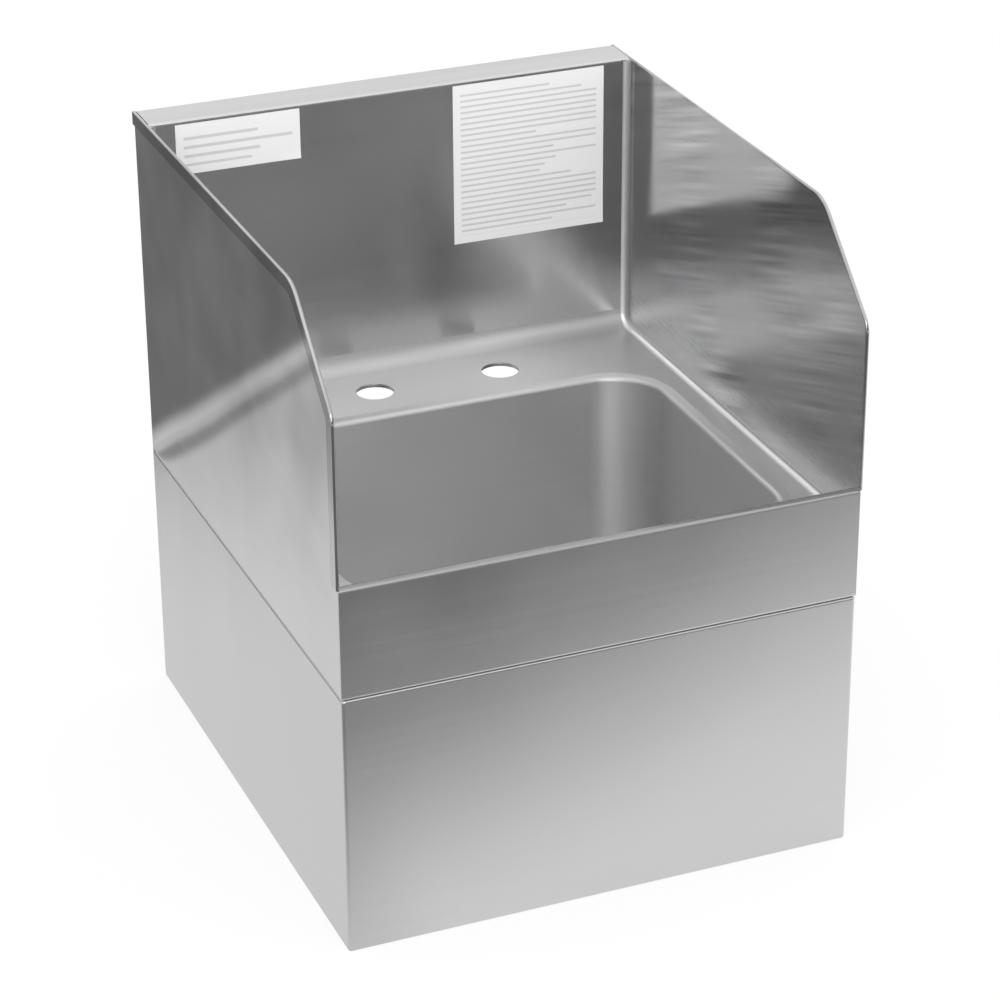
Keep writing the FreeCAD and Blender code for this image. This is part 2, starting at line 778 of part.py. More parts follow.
def make_hanger_channel():
    """Channel on the back of the backsplash whose hook drops behind the wall hanger's upstand."""
    body = new_body("hanger_channel", z=size("hanger_above") + size("hanger_upstand"))
    gauge = size("hanger_sheet")
    web_y = -LIP + SHEET
    hook_y = -size("hanger_shelf") + gauge * 2 + size("joint_gap") * 2
    profile = sketch_on(body, "YZ_Plane", "profile")
    path = [(web_y, gauge - size("channel_foot")), (web_y, gauge), (hook_y, gauge),
            (hook_y, gauge - size("channel_hook"))]
    draw(profile, bent_sheet(path, gauge, BEND, -1))
    pad(body, profile, size("hanger_length"), symmetric=True)
    return body


def screw_shape(label, pieces):
    """Joins the pieces of one fastener."""
    joined = doc.addObject("Part::MultiFuse", label)
    joined.Shapes = pieces
    return joined


def upright(kind, name, spot, z, **lengths):
    """A Part primitive that stands on a plan position, with its lengths driven by the sheet."""
    solid = doc.addObject(kind, name)
    for key, item in lengths.items():
        solid.setExpression(key, item.text)
    for axis, item in (("x", spot[0]), ("y", spot[1]), ("z", z)):
        solid.setExpression(f"Placement.Base.{axis}", item.text)
    return solid


def make_skirt_screws():
    """The six pan-head screws that hold the skirt, as one group."""
    screws = []
    head = size("screw_head_height")
    head_z = SEAM_Z - SHEET - head
    for number, spot in enumerate(screw_spots(), 1):
        cap = upright("Part::Cone", f"screw_cap_{number}", spot, head_z,
                      Radius1=size("screw_head_radius") * 0.7, Radius2=size("screw_head_radius"),
                      Height=head * 0.5)
        brim = upright("Part::Cylinder", f"screw_brim_{number}", spot, head_z + head * 0.5,
                       Radius=size("screw_head_radius"), Height=head * 0.5)
        shank = upright("Part::Cylinder", f"screw_shank_{number}", spot, head_z + head * 0.5,
                        Radius=size("screw_radius"), Height=head * 0.5 + SHEET * 2 + size("nut_height") * 1.5)
        screws.append(screw_shape(f"screw_{number}", [cap, brim, shank]))
    return group("skirt_screws", screws)


def make_weld_nuts():
    """The six weld nuts on the flanges above the seam, as one group."""
    nuts = []
    for number, spot in enumerate(screw_spots(), 1):
        block = upright("Part::Prism", f"nut_block_{number}", spot, SEAM_Z + SHEET,
                        Circumradius=size("nut_radius"), Height=size("nut_height"))
        block.Polygon = 6
        bore = upright("Part::Cylinder", f"nut_bore_{number}", spot, SEAM_Z, Radius=size("nut_bore_radius"),
                       Height=SHEET * 2 + size("nut_height") * 2)
        nut = doc.addObject("Part::Cut", f"weld_nut_{number}")
        nut.Base = block
        nut.Tool = bore
        nuts.append(nut)
    return group("skirt_weld_nuts", nuts)


def group(label, members):
    """Separate solids kept as one node."""
    bundle = doc.addObject("Part::Compound", label)
    bundle.Label = label
    bundle.Links = members
    doc.recompute()
    return bundle


def drain_body_at_seat(label):
    """A body on the drain's axis, with z = 0 at the seat in the bowl's floor."""
    return new_body(label, y=BOWL_Y, z=SEAT_Z)


def make_ring(label, inner, outer, low, high):
    """A plain ring of the drain stack."""
    body = drain_body_at_seat(label)
    section = sketch_on(body, "XZ_Plane", "section")
    draw(section, rectangle(inner, outer, low, high))
    revolve(body, section)
    return body


def make_drain_cup():
    """Drain body: flange in the bowl's floor, seat for the basket, cup and outlet spigot."""
    body = drain_body_at_seat("drain_body")
    cup = size("cup_radius")
    bore = cup - size("cup_wall")
    seat = size("basket_seat_radius")
    rim = size("drain_flange_radius")
    section = sketch_on(body, "XZ_Plane", "section")
    outlet = size("outlet_radius")
    spigot = size("spigot_radius")
    wall = size("cup_wall")
    draw(section, [(outlet, SPIGOT_FOOT), (spigot, SPIGOT_FOOT), (spigot, CUP_FOOT), (cup, CUP_FOOT, wall * 2),
                   (cup, SEAL_TOP), (rim, SEAL_TOP), (rim, FLANGE_TOP, wall), (seat, FLANGE_TOP),
                   (seat, BASKET_SEAT), (bore, BASKET_SEAT), (bore, CUP_FLOOR, wall), (outlet, CUP_FLOOR)])
    revolve(body, section)
    return body


def make_lock_nut():
    """Lock nut with lugs that clamps the drain cup against the bowl."""
    body = make_ring("drain_lock_nut", size("cup_radius") + size("thread_gap"), size("lock_nut_radius"),
                     WASHER_FOOT - size("lock_nut_height"), WASHER_FOOT)
    lug = sketch_on(body, "XY_Plane", "lug", WASHER_FOOT)
    half = size("lug_width") / 2
    draw(lug, rectangle(size("lock_nut_radius") - size("lug_width") / 3, size("lug_reach"), -half, half))
    grip = pad(body, lug, size("lock_nut_height"), reverse=True)
    polar(body, grip, 6)
    return body


def make_tailpiece():
    """Outlet tube with a flange that the coupling nut draws up."""
    body = drain_body_at_seat("tailpiece")
    outer = size("tail_radius")
    bore = outer - size("tail_wall")
    rim = size("spigot_radius") - size("thread_gap") * 2
    section = sketch_on(body, "XZ_Plane", "section")
    neck = outer - size("tail_neck_cut")
    neck_foot = COUPLING_FOOT - size("tail_neck_drop")
    draw(section, [(bore, TAIL_FOOT), (outer, TAIL_FOOT), (outer, neck_foot), (neck, neck_foot),
                   (neck, TAIL_SHOULDER), (rim, TAIL_SHOULDER), (rim, TAIL_TOP), (bore, TAIL_TOP)])
    revolve(body, section)
    return body


def make_coupling_nut():
    """Six-sided nut on the outlet spigot, with a shoulder under the tube's flange."""
    body = drain_body_at_seat("coupling_nut")
    reach = size("coupling_radius")
    foot = COUPLING_FOOT
    plan = sketch_on(body, "XY_Plane", "plan", foot)
    corners = [math.radians(60 * step) for step in range(6)]
    draw(plan, [(reach * math.cos(angle), reach * math.sin(angle) if step % 3 else 0)
                for step, angle in enumerate(corners)])
    pad(body, plan, size("coupling_height"))
    bore = sketch_on(body, "XY_Plane", "thread_bore", TAIL_SHOULDER)
    draw_circle(bore, 0, 0, size("spigot_radius") + size("thread_gap"))
    pocket(body, bore, size("coupling_height") * 2, reverse=True)
    way = sketch_on(body, "XY_Plane", "tube_bore", foot)
    draw_circle(way, 0, 0, size("tail_radius") + size("thread_gap") * 2)
    pocket(body, way, size("coupling_height"), symmetric=True)
    return body


def make_basket():
    """Strainer basket: cup with a rim on the drain's seat, a post boss and slots in its floor."""
    body = drain_body_at_seat("strainer_basket")
    wall = size("basket_wall")
    outer = size("cup_radius") - size("cup_wall") - size("basket_side_gap")
    rim = size("basket_seat_radius") - size("moving_gap")
    boss = size("boss_radius")
    bore = size("post_radius") + size("post_play")
    inner_z = BASKET_FOOT + wall
    boss_z = BASKET_FOOT + size("boss_height")
    section = sketch_on(body, "XZ_Plane", "section")
    draw(section, [(bore, BASKET_FOOT), (outer, BASKET_FOOT, wall * 2), (outer, BASKET_RIM), (rim, BASKET_RIM),
                   (rim, BASKET_RIM + wall), (outer - wall, BASKET_RIM + wall), (outer - wall, inner_z, wall),
                   (boss, inner_z), (boss, boss_z), (bore, boss_z)])
    revolve(body, section)
    half = size("basket_slot_width") / 2
    slot = sketch_on(body, "XY_Plane", "slot", inner_z)
    draw(slot, rectangle(boss + wall * 2, outer - wall * 4, -half, half, half * 0.98))
    cut = pocket(body, slot, wall * 2)
    polar(body, cut, size("basket_slot_count"))
    return body


def make_post():
    """Knob and post: the post slides in the basket's boss and carries the stopper."""
    body = drain_body_at_seat("basket_post")
    post = size("post_radius")
    pin = size("rivet_radius")
    head = size("rivet_head_radius")
    foot = STOPPER_FOOT - size("plug_depth")
    head_foot = foot - size("rivet_head_height")
    knob = size("knob_radius")
    knob_low = BASKET_RIM + size("knob_stand")
    knob_high = knob_low + size("knob_height")
    section = sketch_on(body, "XZ_Plane", "section")
    draw(section, [(0, head_foot), (head, head_foot), (head, foot), (pin, foot), (pin, STOPPER_TOP),
                   (post, STOPPER_TOP), (post, knob_low),
                   (knob, knob_low, size("knob_height") * 0.3), (knob, knob_high, size("knob_height") * 0.6),
                   (0, knob_high)])
    revolve(body, section)
    return body


def make_clip():
    """Ring on the post that stops its travel under the basket."""
    return make_ring("post_clip", size("post_radius"), size("clip_radius"),
                     CLIP_TOP - size("clip_thickness"), CLIP_TOP)


def make_stopper():
    """Rubber stopper: disc over the outlet with a plug that enters it."""
    body = drain_body_at_seat("basket_stopper")
    pin = size("rivet_radius")
    reach = size("stopper_radius")
    plug = size("plug_radius")
    plug_z = STOPPER_FOOT - size("plug_depth")
    edge = size("stopper_thickness") * 0.4
    section = sketch_on(body, "XZ_Plane", "section")
    draw(section, [(pin, plug_z), (plug, plug_z), (plug, STOPPER_FOOT), (reach, STOPPER_FOOT),
                   (reach, STOPPER_TOP, edge), (pin, STOPPER_TOP)])
    revolve(body, section)
    return body


def make_parts():
    """Every sub-part of the sink, in building order."""
    left = make_left_panel()
    cup = size("cup_radius")
    clear = cup + size("thread_gap") * 2
    return [
        make_bowl(),
        make_deck(),
        make_faucet_plate(),
        make_backsplash(),
        left,
        make_right_panel(left),
        make_apron(),
        make_skirt(),
        make_wall_hanger(),
        make_hanger_channel(),
        make_weld_nuts(),
        make_skirt_screws(),
        make_drain_cup(),
        make_ring("drain_seal", clear, size("drain_flange_radius"), 0, SEAL_TOP),
        make_ring("drain_gasket", clear, size("gasket_radius"), GASKET_FOOT, GASKET_TOP),
        make_ring("drain_friction_washer", clear, size("gasket_radius"), WASHER_FOOT, GASKET_FOOT),
        make_lock_nut(),
        make_ring("tailpiece_washer", size("outlet_radius"), size("spigot_radius"), TAIL_TOP, SPIGOT_FOOT),
        make_tailpiece(),
        make_coupling_nut(),
        make_basket(),
        make_post(),
        make_clip(),
        make_stopper(),
    ]


def check(parts):
    """Stops the build where an object is in error or a shape is missing or not valid."""
    for item in doc.Objects:
        if "Invalid" in item.State or "Error" in item.State:
            raise RuntimeError(f"{item.Label}: {item.State}")
    for part in parts:
        if part.Shape.isNull() or not part.Shape.isValid() or not part.Shape.Solids:
            raise RuntimeError(f"{part.Label}: no valid solid")


def write_parts(parts):
    """Writes each sub-part to its own STEP file."""
    os.makedirs("parts", exist_ok=True)
    for part in parts:
        part.Shape.exportStep(os.path.join("parts", f"{part.Label}.step"))


doc.recompute()
sink_parts = make_parts()
doc.recompute()
check(sink_parts)
write_parts(sink_parts)
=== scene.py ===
import logging
import math
from dataclasses import dataclass
from enum import Enum

import bpy
from mathutils import Matrix, Vector


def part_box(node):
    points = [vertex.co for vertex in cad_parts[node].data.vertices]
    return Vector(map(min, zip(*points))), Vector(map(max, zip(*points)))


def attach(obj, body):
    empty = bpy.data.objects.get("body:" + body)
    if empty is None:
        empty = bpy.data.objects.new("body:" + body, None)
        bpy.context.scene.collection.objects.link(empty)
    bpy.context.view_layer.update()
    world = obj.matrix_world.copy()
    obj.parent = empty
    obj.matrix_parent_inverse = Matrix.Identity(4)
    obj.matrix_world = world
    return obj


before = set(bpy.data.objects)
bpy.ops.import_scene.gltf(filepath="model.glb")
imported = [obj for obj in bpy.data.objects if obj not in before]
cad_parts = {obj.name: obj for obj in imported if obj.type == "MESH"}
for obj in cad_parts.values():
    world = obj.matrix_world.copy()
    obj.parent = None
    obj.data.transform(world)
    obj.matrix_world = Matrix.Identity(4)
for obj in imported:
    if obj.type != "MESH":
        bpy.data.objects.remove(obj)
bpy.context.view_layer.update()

# Looks of a wall mount hand sink in brushed stainless sheet. Metres, +Z up, the wall is the plane
# y = 0 and the sink stands out from it toward -Y.

Socket = bpy.types.NodeSocket
Colour = tuple[float, float, float]
Point = tuple[float, float, float]
Span = tuple[float, float]

LOG = logging.getLogger("hand_sink")

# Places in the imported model: the floor under the skirt, the seam above it, the panels' outer and inner
# faces, the deck's front and top, the backsplash's face and top, and the drain's axis.
LOW, HIGH = range(2)
X, Y, Z = range(3)
FLOOR_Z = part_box("skirt")[LOW][Z]
SEAM_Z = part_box("skirt")[HIGH][Z]
PANEL_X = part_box("skirt")[HIGH][X]
INSIDE_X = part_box("deck")[HIGH][X]
DECK_FRONT_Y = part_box("deck")[LOW][Y]
DECK_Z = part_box("bowl")[HIGH][Z]
SPLASH_FACE_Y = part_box("backsplash")[LOW][Y]
SPLASH_TOP_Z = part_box("backsplash")[HIGH][Z]
DRAIN_X, DRAIN_Y = (sum(corner[axis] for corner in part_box("drain_body")) / 2 for axis in (X, Y))

# Spans over which the sheet's tone or roughness changes, the tone by painted shade and reflection: heights,
# distances off the middle plane and off the seam, and how squarely a face looks along an axis.
GROUND_HEIGHT: Span = (DECK_Z, DECK_Z + 0.16)
CLOUD_HEIGHT: Span = (DECK_Z, DECK_Z + 0.08)
HEM_HEIGHT: Span = (DECK_Z + 0.027, DECK_Z + 0.127)
FOLD_HEIGHT: Span = (SEAM_Z + 0.02, SEAM_Z + 0.03)
HEM_PROUD: Span = (PANEL_X + 0.0003, PANEL_X + 0.0012)
SEAM_EDGE: Span = (0.0004, 0.0016)
HEM_FACE: Span = (0.8, 0.97)
FOLD_FACE: Span = (0.75, 0.97)

# Spans of grey values, and the turn that lays a highlight across the polishing lines.
WHOLE: Span = (0.0, 1.0)
MIDDLE: Span = (0.3, 0.7)
RUBBED: Span = (0.45, 0.62)
QUARTER_TURN = 0.25

WHITE = (1.0, 1.0, 1.0, 1.0)
STEEL: Colour = (0.61, 0.61, 0.615)
PALE_STEEL: Colour = (0.66, 0.66, 0.665)
WELD: Colour = (0.74, 0.74, 0.74)
CHROME: Colour = (0.72, 0.72, 0.73)
PAPER: Colour = (0.93, 0.93, 0.925)


class Grain(Enum):
    """Way that polishing lines run, as texture scales per metre along X, Y and Z."""

    LEVEL = (2.5, 2.5, 2400.0)
    SIDEWAYS = (2.5, 2400.0, 2400.0)


class FlatFaces(Enum):
    """Axes that a piece's flat sheets face."""

    SIDES = "X"
    FRONT_AND_SIDES = "XY"


class Ray(Enum):
    """Kinds of ray that see the plain white surroundings."""

    CAMERA = "Is Camera Ray"
    GLOSSY = "Is Glossy Ray"
    TRANSMISSION = "Is Transmission Ray"


class Graph:
    """Node tree with short calls for adding and wiring nodes."""

    def __init__(self, tree: bpy.types.NodeTree) -> None:
        """Take over the tree of a material or of the world and empty it."""
        self.tree = tree
        tree.nodes.clear()

    def add(self, kind: str, inputs: dict | None = None, **settings: object) -> bpy.types.Node:
        """Add a node.

        Args:
            kind: Blender's name of the node type.
            inputs: Values or sockets for the node's inputs, by name or number.
            **settings: Properties of the node.

        Returns:
            The new node.
        """
        node = self.tree.nodes.new(kind)
        for key, value in settings.items():
            setattr(node, key, value)
        for key, value in (inputs or {}).items():
            if isinstance(value, Socket):
                self.tree.links.new(value, node.inputs[key])
            else:
                node.inputs[key].default_value = value
        return node

    def wire(self, node: bpy.types.Node, inputs: dict[str, Socket]) -> None:
        """Wire sockets to a node's inputs, given by name."""
        for name, socket in inputs.items():
            self.tree.links.new(socket, node.inputs[name])

    def axis(self, vector: Socket, name: str) -> Socket:
        """Take X, Y or Z out of a vector."""
        return self.add("ShaderNodeSeparateXYZ", {"Vector": vector}).outputs[name]

    def mapped(self, vector: Socket, inputs: dict[str, Point], **settings: str) -> Socket:
        """Move, turn or scale coordinates by the inputs of a mapping node."""
        return self.add("ShaderNodeMapping", {"Vector": vector, **inputs}, **settings).outputs["Vector"]

    def math(self, operation: str, first: object, second: object = 0.0) -> Socket:
        """Work out a math node's result from values or sockets."""
        return self.add("ShaderNodeMath", {0: first, 1: second}, operation=operation).outputs[0]

    def noise(self, vector: Socket, scale: float, detail: float) -> Socket:
        """Read a noise's grey value, by its features per unit and its octaves of finer noise."""
        node = self.add("ShaderNodeTexNoise", {"Vector": vector, "Scale": scale, "Detail": detail})
        return node.outputs["Fac"]

    def weigh(self, main: Socket, rest: Socket, share: float = 0.6) -> Socket:
        """Mix two grey values, the first with the given share."""
        rest_part = self.math("MULTIPLY", rest, 1.0 - share)
        return self.math("ADD", self.math("MULTIPLY", main, share), rest_part)

    def spread(self, value: Socket, low: float, high: float,
               start: float = MIDDLE[0], end: float = MIDDLE[1]) -> Socket:
        """Map a grey value onto a range.

        Args:
            value: Grey value.
            low: Result at the start value.
            high: Result at the end value.
            start: Grey value that gives the low result.
            end: Grey value that gives the high result.

        Returns:
            The mapped value.
        """
        node = self.add("ShaderNodeMapRange", {"Value": value, "From Min": start, "From Max": end,
                                               "To Min": low, "To Max": high})
        return node.outputs["Result"]

    def blend(self, factor: Socket, first: Colour, second: Colour) -> Socket:
        """Blend two colours by a grey value.

        Args:
            factor: Grey value.
            first: Colour at 0.
            second: Colour at 1.

        Returns:
            The blended colour.
        """
        node = self.add("ShaderNodeValToRGB", {"Fac": factor})
        node.color_ramp.elements[0].color = (*first, 1.0)
        node.color_ramp.elements[1].color = (*second, 1.0)
        return node.outputs["Color"]

    def bump(self, height: Socket, depth: float, normal: Socket | None = None) -> Socket:
        """Raise the surface by a grey value.

        Args:
            height: Grey value.
            depth: Height in metres of a value of 1.
            normal: Normal to start from.

        Returns:
            The new normal.
        """
        node = self.add("ShaderNodeBump", {"Height": height, "Distance": depth, "Strength": 1.0})
        if normal is not None:
            self.wire(node, {"Normal": normal})
        return node.outputs["Normal"]


def toned(colour: Colour, tones: Span) -> list[Colour]:
    """Make a darker and a lighter version of a colour by two factors."""
    return [(colour[0] * tone, colour[1] * tone, colour[2] * tone) for tone in tones]


@dataclass(frozen=True)
class Finish:
    """Surface finish that pieces can share.

    Attributes:
        name: Name of the finish and its material.
        colour: Base colour.
        roughness: Mean roughness.
        metallic: Metal or not, 1 or 0.
    """

    name: str
    colour: Colour
    roughness: float
    metallic: float = 1.0

    def material(self) -> bpy.types.Material:
        """Make the material once.

        Returns:
            The material of this finish.
        """
        known = bpy.data.materials.get(self.name + "_finish")
        if known is not None:
            return known
        made = bpy.data.materials.new(self.name + "_finish")
        made.use_nodes = True
        graph = Graph(made.node_tree)
        shader = graph.add("ShaderNodeBsdfPrincipled", {
            "Metallic": self.metallic, "Roughness": self.roughness, "Base Color": (*self.colour, 1.0)})
        graph.add("ShaderNodeOutputMaterial", {"Surface": shader.outputs["BSDF"]})
        place = graph.add("ShaderNodeTexCoord").outputs["Object"]
        self.detail(graph, shader, place)
        return made

    def detail(self, graph: Graph, shader: bpy.types.Node, place: Socket) -> None:
        """Add the finish's own variation to its shader; a plain finish has none."""

    def lay_on(self, piece: bpy.types.Object) -> None:
        """Give a piece this finish alone."""
        piece.data.materials.clear()
        piece.data.materials.append(self.material())


@dataclass(frozen=True)
class BrushedSteel(Finish):
    """Stainless sheet with polishing lines, haze and the slow waves of thin metal.

    Attributes:
        grain: Way the polishing lines run.
        streak: Swing of roughness from line to line.
        line_depth: Depth of the lines.
        broad_lines: Number of broad lines to each fine one.
        haze: Swing of roughness over wiped patches.
        patch_scale: Wiped patches per metre.
        tones: Factors of the colour on its darkest and lightest lines.
        wave_size: Width of the waves in the sheet.
        wave_height: Length of the waves up the sheet.
        wave_depth: How far the waves stand out.
        stretch: How much highlights stretch across the lines, 0 to 1.
        rub_depth: Depth of the marks where the sheet was rubbed down by hand, on its inner faces.
        rub_tone: Swing of tone over those marks.
        rub_rise: How steeply those marks rise toward the front, in degrees.
        rub_size: Size of a mark along X, Y and Z.
        rub_places: Rubbed places per metre.
        rub_rest: How strongly the marks show between those places, 0 to 1.
        ground: Extra roughness of inner faces at the deck, where they were ground after welding.
        ground_rest: Share of it that is left well above the deck.
        inner_shade: Painted shade: share of the colour lost on inner faces.
        cloud: Painted reflection: share by which the tone of outer faces swings over cloudy patches, above
            the deck.
        cloud_scale: Cloudy patches per metre.
        cloud_rest: Share of that swing below the deck.
        grime_and_shade: Painted shade: share of the colour lost in the seam above the skirt.
        hem_loss: Share of the colour lost on the flat face of the hem at its top.
        hem_rest: Share of that loss low down on the hem.
        flat_faces: Axes that the piece's flat sheets face.
        fold_shade: Painted shade that tones down highlights where a sheet above the seam turns away from
            its flat, as a share of the colour.
    """

    grain: Grain = Grain.LEVEL
    streak: float = 0.02
    line_depth: float = 0.0000015
    broad_lines: float = 0.06
    haze: float = 0.03
    patch_scale: float = 11.0
    tones: Span = (0.96, 1.03)
    wave_size: float = 0.16
    wave_height: float = 0.16
    wave_depth: float = 0.0012
    stretch: float = 0.6
    rub_depth: float = 0.0
    rub_tone: float = 0.0
    rub_rise: float = 18.0
    rub_size: Point = (0.3, 0.2, 0.006)
    rub_places: float = 9.0
    rub_rest: float = 0.1
    ground: float = 0.0
    ground_rest: float = 0.25
    inner_shade: float = 0.0
    cloud: float = 0.0
    cloud_scale: float = 15.0
    cloud_rest: float = 0.1
    grime_and_shade: float = 0.0
    hem_loss: float = 0.0
    hem_rest: float = 0.3
    flat_faces: FlatFaces = FlatFaces.SIDES
    fold_shade: float = 0.0

    def detail(self, graph: Graph, shader: bpy.types.Node, place: Socket) -> None:
        """Add lines, haze, waves, rub marks, painted shade and painted cloudy reflections.

        Args:
            graph: Tree to add to.
            shader: Shader to drive.
            place: Object coordinates.
        """
        height = graph.axis(place, "Z")
        inner = self.facing_in(graph, place)
        outer = graph.math("SUBTRACT", 1.0, inner)
        along = graph.mapped(place, {"Scale": self.grain.value})
        fine = graph.noise(along, scale=1.0, detail=1.0)
        lines = graph.weigh(fine, graph.noise(along, self.broad_lines, detail=1.0))
        patches = graph.noise(place, self.patch_scale, detail=4.0)
        rubs, shown = self.rub_marks(graph, place, inner)

        low, high = self.roughness - self.streak, self.roughness + self.streak
        ground = graph.spread(height, self.ground, self.ground_rest * self.ground, *GROUND_HEIGHT)
        rough = graph.math("ADD", graph.spread(lines, low, high),
                           graph.spread(patches, -self.haze, self.haze))
        rough = graph.math("ADD", rough, graph.math("MULTIPLY", inner, ground))

        normal = graph.bump(graph.math("MULTIPLY", rubs, shown), self.rub_depth, self.waves(graph, place))
        normal = graph.bump(graph.math("MULTIPLY", fine, outer), self.line_depth, normal)

        # The rub marks are wear; the losses added to them are painted shade and painted reflection.
        wear_and_shade_loss = graph.math("MULTIPLY", graph.spread(rubs, self.rub_tone, -self.rub_tone), shown)
        # Painted shade darkens inner faces and the hem; the cloudy patches are a painted reflection.
        for loss in (graph.math("MULTIPLY", inner, self.inner_shade), self.hem_shade(graph, place, height),
                     self.clouds(graph, place, height, outer)):
            wear_and_shade_loss = graph.math("ADD", wear_and_shade_loss, loss)
        # Painted shade: the colour darkens in the seam above the skirt.
        away = graph.math("ABSOLUTE", graph.math("SUBTRACT", height, SEAM_Z))
        wear_and_shade_factor = graph.math("SUBTRACT", graph.spread(away, 1.0 - self.grime_and_shade, 1.0, *SEAM_EDGE), wear_and_shade_loss)
        # Painted shade tones down the highlights on folds above the seam.
        wear_and_shade_factor = graph.math("MULTIPLY", wear_and_shade_factor, self.flatness(graph, height))
        tone = graph.spread(graph.weigh(lines, patches), *WHOLE)
        colour = graph.blend(tone, *toned(self.colour, self.tones))
        worn_and_shaded = graph.add("ShaderNodeVectorMath", {0: colour, "Scale": wear_and_shade_factor}, operation="SCALE")

        shader.inputs["Anisotropic"].default_value = self.stretch
        shader.inputs["Anisotropic Rotation"].default_value = QUARTER_TURN
        graph.wire(shader, {"Tangent": self.line_way(graph), "Roughness": rough,
                            "Base Color": worn_and_shaded.outputs["Vector"], "Normal": normal})

    def line_way(self, graph: Graph) -> Socket:
        """Way of the polishing lines: round the upright axis, or straight along the object's X axis.

        Args:
            graph: Tree to add to.

        Returns:
            The way, as the shader's tangent.
        """
        if self.grain is Grain.LEVEL:
            return graph.add("ShaderNodeTangent", direction_type="RADIAL", axis="Z").outputs["Tangent"]
        return graph.add("ShaderNodeVectorTransform", {"Vector": (1.0, 0.0, 0.0)}, vector_type="VECTOR",
                         convert_from="OBJECT", convert_to="WORLD").outputs["Vector"]

    def waves(self, graph: Graph, place: Socket) -> Socket:
        """Slow waves of the thin sheet.

        Args:
            graph: Tree to add to.
            place: Object coordinates.

        Returns:
            The wavy sheet's normal.
        """
        slow = (1.0 / self.wave_size, 1.0 / self.wave_size, 1.0 / self.wave_height)
        swell = graph.noise(graph.mapped(place, {"Scale": slow}), scale=1.0, detail=1.0)
        return graph.bump(swell, self.wave_depth)

    def rub_marks(self, graph: Graph, place: Socket, inner: Socket) -> tuple[Socket, Socket]:
        """Marks where the inner faces were rubbed down by hand.

        Args:
            graph: Tree to add to.
            place: Object coordinates.
            inner: 1 on inner faces and 0 elsewhere.

        Returns:
            The marks as a grey value, and how strongly they show.
        """
        turn = (math.radians(-self.rub_rise), 0.0, 0.0)
        along = graph.mapped(place, {"Rotation": turn, "Scale": self.rub_size}, vector_type="TEXTURE")
        shown = graph.spread(graph.noise(place, self.rub_places, detail=1.0), self.rub_rest, 1.0, *RUBBED)
        return graph.noise(along, scale=1.0, detail=2.0), graph.math("MULTIPLY", inner, shown)

    def clouds(self, graph: Graph, place: Socket, height: Socket, outer: Socket) -> Socket:
        """Painted reflection: share of the colour that cloudy patches of the outer faces lose or gain.

        Args:
            graph: Tree to add to.
            place: Object coordinates.
            height: Height in the object.
            outer: 1 on outer faces and 0 elsewhere.

        Returns:
            The loss, below 0 where it is a gain.
        """
        swing = graph.spread(graph.noise(place, self.cloud_scale, detail=1.0), self.cloud, -self.cloud)
        swing = graph.math("MULTIPLY", swing, graph.spread(height, self.cloud_rest, 1.0, *CLOUD_HEIGHT))
        return graph.math("MULTIPLY", swing, outer)

    def hem_shade(self, graph: Graph, place: Socket, height: Socket) -> Socket:
        """Share of the colour lost on the hem's flat face, which stands proud of the panel's outside.

        Args:
            graph: Tree to add to.
            place: Object coordinates.
            height: Height in the object.

        Returns:
            The loss, 0 away from the hem.
        """
        normal = graph.add("ShaderNodeNewGeometry").outputs["Normal"]
        across, facing = (graph.math("ABSOLUTE", graph.axis(vector, "X")) for vector in (place, normal))
        loss = graph.spread(across, 0.0, self.hem_loss, *HEM_PROUD)
        loss = graph.math("MULTIPLY", loss, graph.spread(facing, *WHOLE, *HEM_FACE))
        return graph.math("MULTIPLY", loss, graph.spread(height, self.hem_rest, 1.0, *HEM_HEIGHT))

    def flatness(self, graph: Graph, height: Socket) -> Socket:
        """Share of the colour that the sheet's folds keep under painted shade that tones down their
        highlights.

        Args:
            graph: Tree to add to.
            height: Height in the object.

        Returns:
            1 on the flat sheet and below the seam, less on folds above it.
        """
        normal = graph.add("ShaderNodeNewGeometry").outputs["Normal"]
        flat: object = 0.0
        for axis in self.flat_faces.value:
            flat = graph.math("MAXIMUM", flat, graph.math("ABSOLUTE", graph.axis(normal, axis)))
        bent = graph.math("MULTIPLY", graph.spread(flat, self.fold_shade, 0.0, *FOLD_FACE),
                          graph.spread(height, *WHOLE, *FOLD_HEIGHT))
        return graph.math("SUBTRACT", 1.0, bent)

    def facing_in(self, graph: Graph, place: Socket) -> Socket:
        """Tell inner faces, which look toward the sink's middle plane, from the rest.

        Args:
            graph: Tree to add to.
            place: Object coordinates.

        Returns:
            1 on those faces and 0 elsewhere.
        """
        normal = graph.add("ShaderNodeNewGeometry").outputs["True Normal"]
        ways = [graph.axis(vector, "X") for vector in (normal, place)]
        return graph.math("LESS_THAN", graph.math("MULTIPLY", *ways), 0.0)


